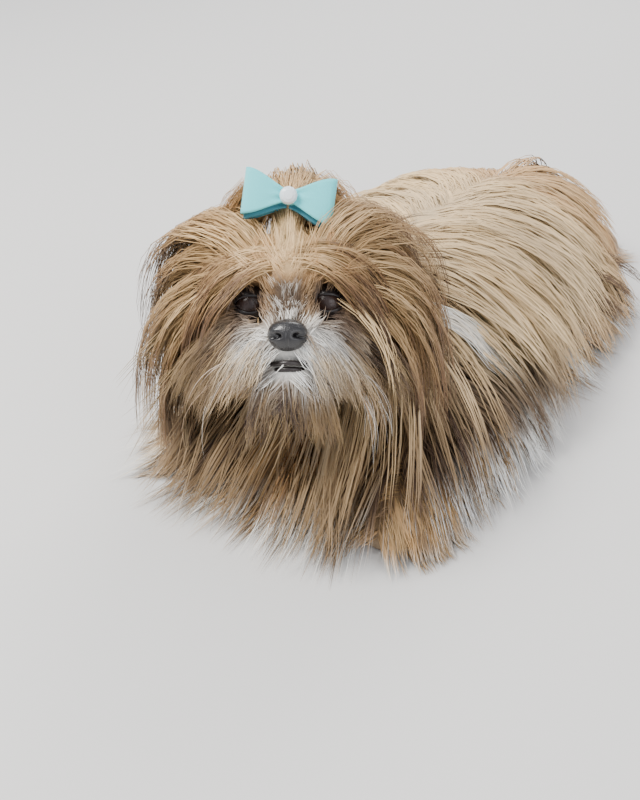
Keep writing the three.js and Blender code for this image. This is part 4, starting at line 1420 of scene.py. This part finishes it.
@dataclass
class Wisps(Coat):
    """A few single long hairs that stand off the face."""

    def lines(self, comber: Comber) -> Lines:
        """Single guides from the lip that fly out and bend inwards; see Coat for Args and Returns."""
        rng, n = comber.rng, self.guides
        side = in_turn(n)
        s = rng.random(n)
        middle = np.array([0, 14.0, -14.0])
        start = xyz(side * (16 + 18 * s), 58 - 24 * s, -22 - 14 * s)
        roots, normal = comber.head_roots(middle, start - middle)
        way = xyz(side * rng.uniform(0.5, 1.1, n), rng.uniform(0, 0.7, n), rng.uniform(-0.5, 0.2, n))
        inward = HEAD.way(xyz(-side * 0.35, 0, 0))
        length = rng.uniform(60, 96, n)
        lines = comber.fall(roots, HEAD.way(way), length, self.steps, 0.5, 8 + 6 * s, 0.0, inward)
        return lines, np.stack([s, s], -1), normal

    def shade(self, roots: Array, t: Array, tone: Array, at: Array) -> Array:
        """White to gold; see Coat for Args and Returns."""
        return mix(WHITE, GOLD, tone)


class SkinBody:
    """The skin of the whole dog, under its coat."""

    NODES = ("torso", "neck", "head", "lower_jaw", "tail", *(f"{k}_{s}" for k in
             ("foreleg", "forepaw", "hindleg", "hindpaw") for s in SIDES))

    VOXEL, FLOOR_GAP, SOCKET, SOCKET_WALL = 0.0028, 0.6, 15.0, 9.5

    def __init__(self, body: Field) -> None:
        """Keeps the body's form."""
        self.body = body

    def balls(self, masses: dict[str, list[Mass]]) -> tuple[Array, Array]:
        """Balls in place of the masses, before they are run together.

        Args:
            masses: Masses by name.

        Returns:
            Vertices and triangles.
        """
        verts, faces, total = [], [], 0
        for m in (m for group in masses.values() for m in group):
            v, f, _ = ball(m.centre, m.radii, m.rows, 24, 15)
            verts.append(v)
            faces.append(f + total)
            total += len(v)
        return np.concatenate(verts), np.concatenate(faces)

    def build(self, masses: dict[str, list[Mass]]) -> bpy.types.Object:
        """Builds and dresses the skin.

        Args:
            masses: Masses by name.

        Returns:
            The skin.
        """
        verts, faces = self.balls(masses)
        skin = put_mesh("skin", verts, faces, SKIN)
        remesh = skin.modifiers.new("one", "REMESH")
        remesh.mode, remesh.voxel_size = "VOXEL", self.VOXEL
        graph = bpy.context.evaluated_depsgraph_get()
        mesh = bpy.data.meshes.new_from_object(skin.evaluated_get(graph))
        skin.modifiers.clear()
        skin.data = mesh
        p = np.empty(len(mesh.vertices) * 3)
        mesh.vertices.foreach_get("co", p)
        p = p.reshape(-1, 3) / MM
        for _ in range(4):
            d, out = self.body.read(p)
            p = p - out * np.clip(d, -4, 4)[:, None] * 0.8
        p = self.sockets(p)
        p[:, 2] = np.maximum(p[:, 2], self.FLOOR_GAP)
        mesh.vertices.foreach_set("co", (p * MM).ravel())
        mesh.polygons.foreach_set("use_smooth", np.ones(len(mesh.polygons), bool))
        give_shade(mesh, self.shade(p))
        mesh.update()
        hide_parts(*self.NODES)
        log.info("skin: %d vertices", len(p))
        return skin

    def sockets(self, p: Array) -> Array:
        """Sinks the skin behind the eyes.

        Args:
            p: Points of the skin.

        Returns:
            The points, with those in an eye's place drawn in.
        """
        q = HEAD.into(p)
        for side in SIDES.values():
            off = q - EYE * [side, 1, 1]
            r = np.hypot(off[:, 0], off[:, 2])
            front = (off[:, 1] > -2) & (r < self.SOCKET)
            ball_front = np.sqrt(np.maximum(EYE_RADIUS**2 - r**2, 0)) - 1.2
            deep = np.minimum(off[:, 1], ball_front + 9 * smooth(self.SOCKET_WALL, self.SOCKET, r))
            q[front, 1] = (EYE[1] + deep)[front]
        return HEAD.out(q)

    @staticmethod
    def shade(p: Array) -> Array:
        """The skin's colour: the coat's markings, darker.

        Args:
            p: Points of the skin.

        Returns:
            Linear colours.
        """
        q = HEAD.into(p)
        tone = np.full(len(p), 0.5)
        body, face = body_shade(p, p[:, 2], tone), face_shade(q, tone)
        near = smooth(64, 52, np.linalg.norm((q - [0, 22, -8]) * [1, 0.8, 1], axis=1))
        return mix(body * 0.8, face * 0.6, near)


class Face:
    """Eyes with their lids, the nose and the lips."""

    def eye(self, name: str, side: int) -> list[bpy.types.Object]:
        """One eye: its ball with iris and pupil, and its lids.

        Args:
            name: The side's name.
            side: 1 for the dog's left, -1 for its right.

        Returns:
            The pieces.
        """
        at = HEAD.out(EYE * [side, 1, 1])
        v, f, u = ball(at, [EYE_RADIUS] * 3, HEAD.rows, 72, 72)
        gaze = unit(np.array([0.10 * side, 1.0, 0.05]))
        away = np.degrees(np.arccos(np.clip(u @ gaze, -1, 1)))
        pupil, limbus, white = np.array([(0.003, 0.002, 0.002), (0.008, 0.005, 0.004), (0.06, 0.05, 0.04)])
        iris = mix(BROWN * 0.12, RUST * 0.06, smooth(19, 33, away) * (1 - smooth(35, 40, away)))
        shade = mix(pupil, iris, smooth(17, 20, away))
        shade = mix(shade, limbus, smooth(39, 44, away))
        shade = mix(shade, white, 0.5 * smooth(52, 60, away))
        made = [put_mesh(f"eyeball_{name}", v, f, EYEBALL, shade)]
        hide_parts(f"eye_{name}")
        for which, sign in (("upper", 1), ("lower", -1)):
            made.append(self.lid(f"{which}_lid_{name}", side, sign))
        return made

    @staticmethod
    def lid(name: str, side: int, sign: int) -> bpy.types.Object:
        """One lid, a patch of a slightly larger ball with a rounded edge.

        p(a, e) = R (sin a cos e, cos a cos e, sin e), with e from the edge e0 cos(pi a / 2 w)^0.8 up to
        88 degrees.

        Args:
            name: Its name.
            side: The eye's side.
            sign: 1 for the upper lid, -1 for the lower.

        Returns:
            The lid.
        """
        half = np.radians(66)
        a = np.linspace(-half, half, 30)
        edge = np.radians(23 if sign > 0 else 27) * np.cos(a / half * np.pi / 2) ** 0.8 + 0.02
        s = np.linspace(0, 1, 10)
        e = edge[None] + (np.radians(88) - edge[None]) * s[:, None]
        outer = EYE_RADIUS + 0.9 + 1.5 * s[:, None] * np.ones_like(e)
        inner = EYE_RADIUS + 0.15 + 0 * e

        way = xyz(np.sin(a) * np.cos(e) * side, np.cos(a) * np.cos(e), np.sin(e) * sign)
        rings = np.concatenate([way * outer[..., None], (way * inner[..., None])[::-1]]).transpose(1, 0, 2)
        rows, columns = rings.shape[:2]
        poles = np.stack([rings[0].mean(0), rings[-1].mean(0)])
        verts = np.concatenate([rings.reshape(-1, 3), poles])
        faces = grid_faces(rows, columns)
        if side * sign > 0:
            faces = faces[:, ::-1]
        made = put_mesh(name, HEAD.out(EYE * [side, 1, 1] + verts), faces, RIM)
        return made

    @staticmethod
    def nose() -> bpy.types.Object:
        """The nose pad with its nostrils and the groove between them.

        r(u) = 1 - front (0.42 nostril + 0.22 slit + 0.07 groove - 0.05 wing) - 0.08 top, with a bell curve
        or a soft step over the direction u for each.

        Returns:
            The nose.
        """

        def shape(u: Array) -> Array:
            """The pad's form.

            Args:
                u: Directions from its middle.

            Returns:
                Factor of the radius for each.
            """
            x, z = np.abs(u[:, 0]), u[:, 2]
            front = smooth(0.1, 0.6, u[:, 1])
            nostril = np.exp(-(((x - 0.50 - 0.15 * (z + 0.1)) / 0.17) ** 2 + ((z + 0.06) / 0.13) ** 2))
            slit = np.exp(-(((x - 0.74) / 0.16) ** 2 + ((z + 0.20) / 0.07) ** 2))
            groove = np.exp(-((x / 0.06) ** 2)) * smooth(0.35, -0.2, z)
            wing = np.exp(-(((x - 0.62) / 0.25) ** 2 + ((z - 0.25) / 0.2) ** 2))
            top = smooth(0.55, 0.95, z)
            dents = 0.42 * nostril + 0.22 * slit + 0.07 * groove - 0.05 * wing
            return 1 - front * dents - 0.08 * top

        v, f, _ = ball(HEAD.out(NOSE), (12.5, 9.0, 10.5), HEAD.rows, 120, 90, shape)
        made = put_mesh("nose_pad", v, f, LEATHER)
        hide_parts("nose")
        return made

    @staticmethod
    def lips() -> list[bpy.types.Object]:
        """Dark rolls along the mouth, above and below it.

        Returns:
            The pieces.
        """
        made = []
        for name, middle, left in (
            ("upper_lip", (0, 69, -29.5), [(9, 65, -30.2), (18, 55, -31.5), (26, 38, -33)]),
            ("lower_lip", (0, 66.5, -33.6), [(8, 63, -34.2), (17, 51, -35.5), (23, 36, -36)]),
        ):
            keys = [np.multiply(key, [-1, 1, 1]) for key in reversed(left)] + [middle, *left]
            line = along_path(HEAD.out(np.array(keys, float)), 48)
            wide = np.full((48, 2), 1.7) * np.sin(np.linspace(0.35, np.pi - 0.35, 48))[:, None]
            v, f = tube(line, wide, HEAD.way([0, 0, 1]), 12)
            made.append(put_mesh(name, v, f, RIM))
        return made

    def build(self) -> list[bpy.types.Object]:
        """Builds the face's own pieces.

        Returns:
            The pieces.
        """
        made = [self.nose(), *self.lips()]
        for name, side in SIDES.items():
            made += self.eye(name, side)
        return made


@dataclass
class EarFlap:
    """The leather of one ear, hanging under its hair.

    Attributes:
        name: The side's name.
        side: 1 for the dog's left, -1 for its right.
        length: How far it hangs.
        thick: Half its thickness.
    """

    name: str
    side: int
    length: float = 66.0
    thick: float = 1.6

    def build(self) -> bpy.types.Object:
        """Builds the flap as a leaf that is bent round its length.

        p(t, a) = line(t) + w(t) cos(a) lean + (thick sin(a) - 6 cos(a)^2 sin(pi t)) out.

        Returns:
            The flap.
        """
        t = np.linspace(0, 1, 26)
        out, lean = HEAD.way([self.side, 0, 0]), HEAD.way([0, 1, 0])
        root = HEAD.out(EAR * [self.side, 1, 1])
        line = root + out * (5 + 8 * np.minimum(1, t * 3) + 8 * t)[:, None] - xyz(0, 6 * t, self.length * t)
        wide = 17 + 9 * np.sin(np.pi * t) - 6 * t
        a = np.arange(28) * 2 * np.pi / 28
        across, over = np.cos(a), np.sin(a)
        bend = -6.0 * across**2 * np.sin(np.pi * np.clip(t, 0.05, 1))[:, None]
        ring = (line[:, None] + (wide[:, None] * across)[..., None] * lean
                + (self.thick * over + bend)[..., None] * out)
        poles = np.stack([line[0] + [0, 0, 2], line[-1] - [0, 0, 3]])
        verts = np.concatenate([ring.reshape(-1, 3), poles])
        faces = grid_faces(len(t), 28)
        if self.side < 0:
            faces = faces[:, ::-1]
        made = put_mesh(f"ear_flap_{self.name}", verts, faces, SKIN, np.broadcast_to(TAN * 0.5, verts.shape))
        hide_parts(f"ear_{self.name}")
        return made


@dataclass
class Bow:
    """The felt bow with its strap and stone.

    Attributes:
        tilt: How far it leans, in degrees.
        reach: Length of a loop.
        narrow: Height at the waist.
        wide: Height at the fold.
        ply: Thickness of the felt.
    """

    tilt: float = -9.0
    reach: float = 30.5
    narrow: float = 8.0
    wide: float = 31.0
    ply: float = 1.1

    def place(self, p: Array) -> Array:
        """Turns points of the bow's own frame to the part's.

        Args:
            p: Points, x along the bow, y forwards, z up.

        Returns:
            Points in the part's frame.
        """
        c, s = math.cos(math.radians(self.tilt)), math.sin(math.radians(self.tilt))
        x, y, z = p[..., 0], p[..., 1], p[..., 2]
        return HEAD.out(BOW + xyz(x * c - z * s, y, x * s + z * c))

    def loop(self, name: str, side: int, finish: Finish, drop: float, behind: float,
             scale: float) -> bpy.types.Object:
        """One loop of felt, from the waist out, round its fold and back behind.

        p(s, h) = (X(s), Y(s), h H(X)), a doubled strip whose height H grows from the waist to the fold.

        Args:
            name: Its name.
            side: 1 for the dog's left, -1 for its right.
            finish: Its felt.
            drop: How far it hangs lower.
            behind: How far it lies behind.
            scale: Size beside the front loop.

        Returns:
            The loop.
        """
        keys = np.array([(1.0, 1.6), (9, 3.6), (20, 4.6), (28, 3.4), (self.reach, 0),
                         (28, -2.8), (20, -3.6), (9, -2.6), (1.0, -1.2)])
        path = along_path(keys, 60) * [scale, 1]
        ahead = unit(np.gradient(path, axis=0))
        normal = np.stack([ahead[:, 1], -ahead[:, 0]], -1)
        h = np.linspace(-1, 1, 15)
        x = path[:, 0]
        high = (self.narrow + (self.wide - self.narrow) * smooth(0, self.reach, x) ** 0.8) / 2 * scale
        pleat = 0.7 * np.cos(h * 2.4 * np.pi)[None] * (1 - smooth(2, 18, x))[:, None]

        def layer(off: float) -> Array:
            """One side of the felt.

            Args:
                off: How far it lies from the felt's middle.

            Returns:
                Points by row and height.
            """
            q = path + normal * off
            y = q[:, 1:2] + pleat * np.sign(path[:, 1:2] + 0.01) - behind
            return xyz(q[:, :1] * side, y, h * high[:, None] - drop)

        rings = np.concatenate([layer(self.ply / 2), layer(-self.ply / 2)[:, ::-1]], 1)
        rows, columns = rings.shape[:2]
        verts = np.concatenate([rings.reshape(-1, 3), rings[[0, -1]].mean(1)])
        faces = grid_faces(rows, columns)
        if side < 0:
            faces = faces[:, ::-1]
        made = put_mesh(name, self.place(verts), faces, finish)
        return made

    def strap(self) -> bpy.types.Object:
        """The strap round the waist.

        Returns:
            The strap.
        """
        a = np.linspace(0, 2 * np.pi, 40, endpoint=False)
        w = np.linspace(-1, 1, 9)[:, None]
        soft = 1 - 0.10 * w**4
        rings = xyz(w * 3.7, 4.6 * soft * np.cos(a), 5.4 * soft * np.sin(a))
        verts = np.concatenate([rings.reshape(-1, 3), [[-3.7, 0, 0], [3.7, 0, 0]]])
        made = put_mesh("strap", self.place(verts), grid_faces(9, 40), FELT)
        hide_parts("bow_strap")
        return made

    def gem(self) -> bpy.types.Object:
        """The faceted round stone.

        Returns:
            The stone.
        """
        rings = []
        for k, (r, y) in enumerate(((3.1, 3.9), (4.9, 3.0), (6.0, 1.2), (6.0, 0.6), (3.0, -1.2))):
            a = np.arange(12) * np.pi / 6 + (np.pi / 12) * (k % 2)
            rings.append(xyz(r * np.cos(a), y + 5.6, r * np.sin(a)))
        verts = np.concatenate([np.concatenate(rings), [[0, 9.7, 0], [0, 4.0, 0]]])
        made = put_mesh("stone", self.place(verts), grid_faces(5, 12), STONE, flat=True)
        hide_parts("bow_stone")
        return made

    def build(self) -> list[bpy.types.Object]:
        """Builds the whole bow.

        Returns:
            The pieces.
        """
        made = [self.strap(), self.gem()]
        for name, side in SIDES.items():
            front = self.loop(f"loop_{name}", side, FELT, 0.0, 0.0, 1.0)
            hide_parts(f"bow_loop_{name}")
            # Each side's second loop is the darker felt, lower and behind the first: painted shade under the
            # fold.
            made += [front, self.loop(f"fold_{name}", side, FELT_SHADED, 3.6, 4.2, 0.94)]
        return made


class Studio:
    """A plain pale floor, soft light and the photo's camera."""

    EYE_POINT = (0.262, -0.660, 0.475)
    AZIMUTH, ELEVATION, LENS = 30.0, 38.0, 38.6

    def light(self, name: str, where: Sequence[float], size: float, power: float,
              colour: Sequence[float]) -> None:
        """A soft square light aimed at the dog.

        Args:
            name: Its name.
            where: Its place, in metres.
            size: Its side.
            power: Its watts.
            colour: Its colour.
        """
        data = bpy.data.lights.new(name, "AREA")
        data.shape, data.size, data.energy, data.color = "SQUARE", size, power, colour
        made = bpy.data.objects.new(name, data)
        made.location = where
        made.rotation_euler = (Vector((0, -0.05, 0.08)) - Vector(where)).to_track_quat("-Z", "Y").to_euler()
        bpy.context.scene.collection.objects.link(made)

    def build(self) -> None:
        """Builds the studio."""
        v = 4000.0 * np.array([(-1, -1, 0), (1, -1, 0), (1, 1, 0), (-1, 1, 0)])
        put_mesh("floor", v, np.array([[0, 1, 2, 3]]), FLOOR)
        self.light("key", (-0.9, -1.1, 2.0), 0.9, 68, (1.0, 0.98, 0.94))
        self.light("fill", (1.8, -0.9, 1.3), 1.6, 15, (0.98, 0.98, 1.0))
        self.light("rim", (-0.4, 1.7, 1.5), 1.2, 26, (1.0, 0.98, 0.95))
        world = bpy.data.worlds.new("world")
        world.use_nodes = True
        back = world.node_tree.nodes["Background"]
        back.inputs["Color"].default_value = (0.92, 0.94, 1.0, 1)
        back.inputs["Strength"].default_value = 0.9
        bpy.context.scene.world = world
        a, e = math.radians(self.AZIMUTH), math.radians(self.ELEVATION)
        behind = Vector((math.sin(a) * math.cos(e), -math.cos(a) * math.cos(e), math.sin(e)))
        data = bpy.data.cameras.new("camera")
        data.lens, data.sensor_width = self.LENS, 36.0
        data.clip_start = 0.01
        camera = bpy.data.objects.new("camera", data)
        camera.location = self.EYE_POINT
        camera.rotation_euler = (-behind).to_track_quat("-Z", "Y").to_euler()
        bpy.context.scene.collection.objects.link(camera)
        bpy.context.scene.camera = camera


def coats() -> list[Coat]:
    """Every region of the coat, in the order in which they grow.

    The numbers are guides, hairs a guide, steps, width, lock radius, clump, wave and raggedness.

    Returns:
        The regions.
    """
    thin = 1.0

    def n(count: int) -> int:
        return max(8, int(count * thin))

    made: list[Coat] = [
        BodyCoat("coat_body", "coat_cream", n(1250), 10, 6, 1.32, 11.0, 0.22, 1.8, 0.3),
        NeckCoat("coat_neck", "coat_tan", n(230), 14, 5, 1.0, 9.5, 0.3, 2.0, 0.3),
        HemCoat("coat_hem", "coat_gold", n(250), 14, 5, 1.0, 9.0, 0.3, 2.4, 0.4),
        ShoulderLock("coat_shoulder_lock", "coat_white", 12, 11, 8, 0.9, 8.0, 0.1, 2.2, 0.3),
        FaceCoat("coat_face", "coat_tan", n(1080), 9, 3, 0.5, 4.5, 0.3, 0.7, 0.4),
        WhiskerCoat("coat_moustache", "coat_cream", n(220), 14, 5, 0.46, 5.0, 0.32, 1.8, 0.5),
        CrownCoat("coat_crown", "coat_tan", n(290), 15, 6, 0.8, 9.5, 0.22, 2.4, 0.35),
        FringeCoat("coat_fringe", "coat_tan", n(130), 13, 6, 0.55, 5.0, 0.25, 1.6, 0.45),
        KnotCoat("coat_topknot", "coat_gold", n(250), 12, 7, 0.6, 4.2, 0.05, 1.1, 0.2),
        Wisps("coat_wisps", "coat_white", 16, 3, 9, 0.34, 1.5, 0.3, 2.5, 0.3),
        TailCoat("coat_tail", "coat_gold", n(210), 14, 5, 1.1, 8.0, 0.3, 1.8, 0.35),
    ]
    for name, side in SIDES.items():
        made += [
            EarCoat(f"coat_ear_{name}", "coat_tan", n(110), 14, 5, 0.95, 7.0, 0.3, 2.0, 0.35, side=side),
            LimbCoat(f"coat_foreleg_{name}", "coat_gold", n(190), 12, 4, 1.0, 7.0, 0.35, 1.4, 0.35,
                     side=side),
            ThighCoat(f"coat_thigh_{name}", "coat_gold", n(70), 13, 5, 1.15, 9.0, 0.4, 1.6, 0.3, side=side),
            LimbCoat(f"coat_hindpaw_{name}", "coat_white", n(40), 12, 4, 0.9, 5.0, 0.5, 1.0, 0.3, side=side,
                     reach=34.0, limbs=("hindpaw",), ahead=(0.4, -0.4, -0.1)),
        ]
    return made


def main() -> None:
    """Builds the dog's skin, face, ears, coat and bow, and the studio."""
    logging.basicConfig(level=logging.INFO, format="%(name)s %(message)s")
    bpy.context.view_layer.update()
    masses = flesh_masses()
    body = Field([m for group in masses.values() for m in group])
    pieces = [SkinBody(body).build(masses), *Face().build()]
    for name, side in SIDES.items():
        pieces.append(EarFlap(name, side).build())
    comber = Comber(body, np.random.default_rng(SEED))
    for region in coats():
        for piece in region.grow(comber):
            pieces.append(piece)
            if isinstance(region, KnotCoat):
                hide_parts("topknot")
    pieces += Bow().build()
    for piece in pieces:
        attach(piece, "root")
    Studio().build()
    bpy.context.view_layer.update()


if __name__ == "__main__":
    main()
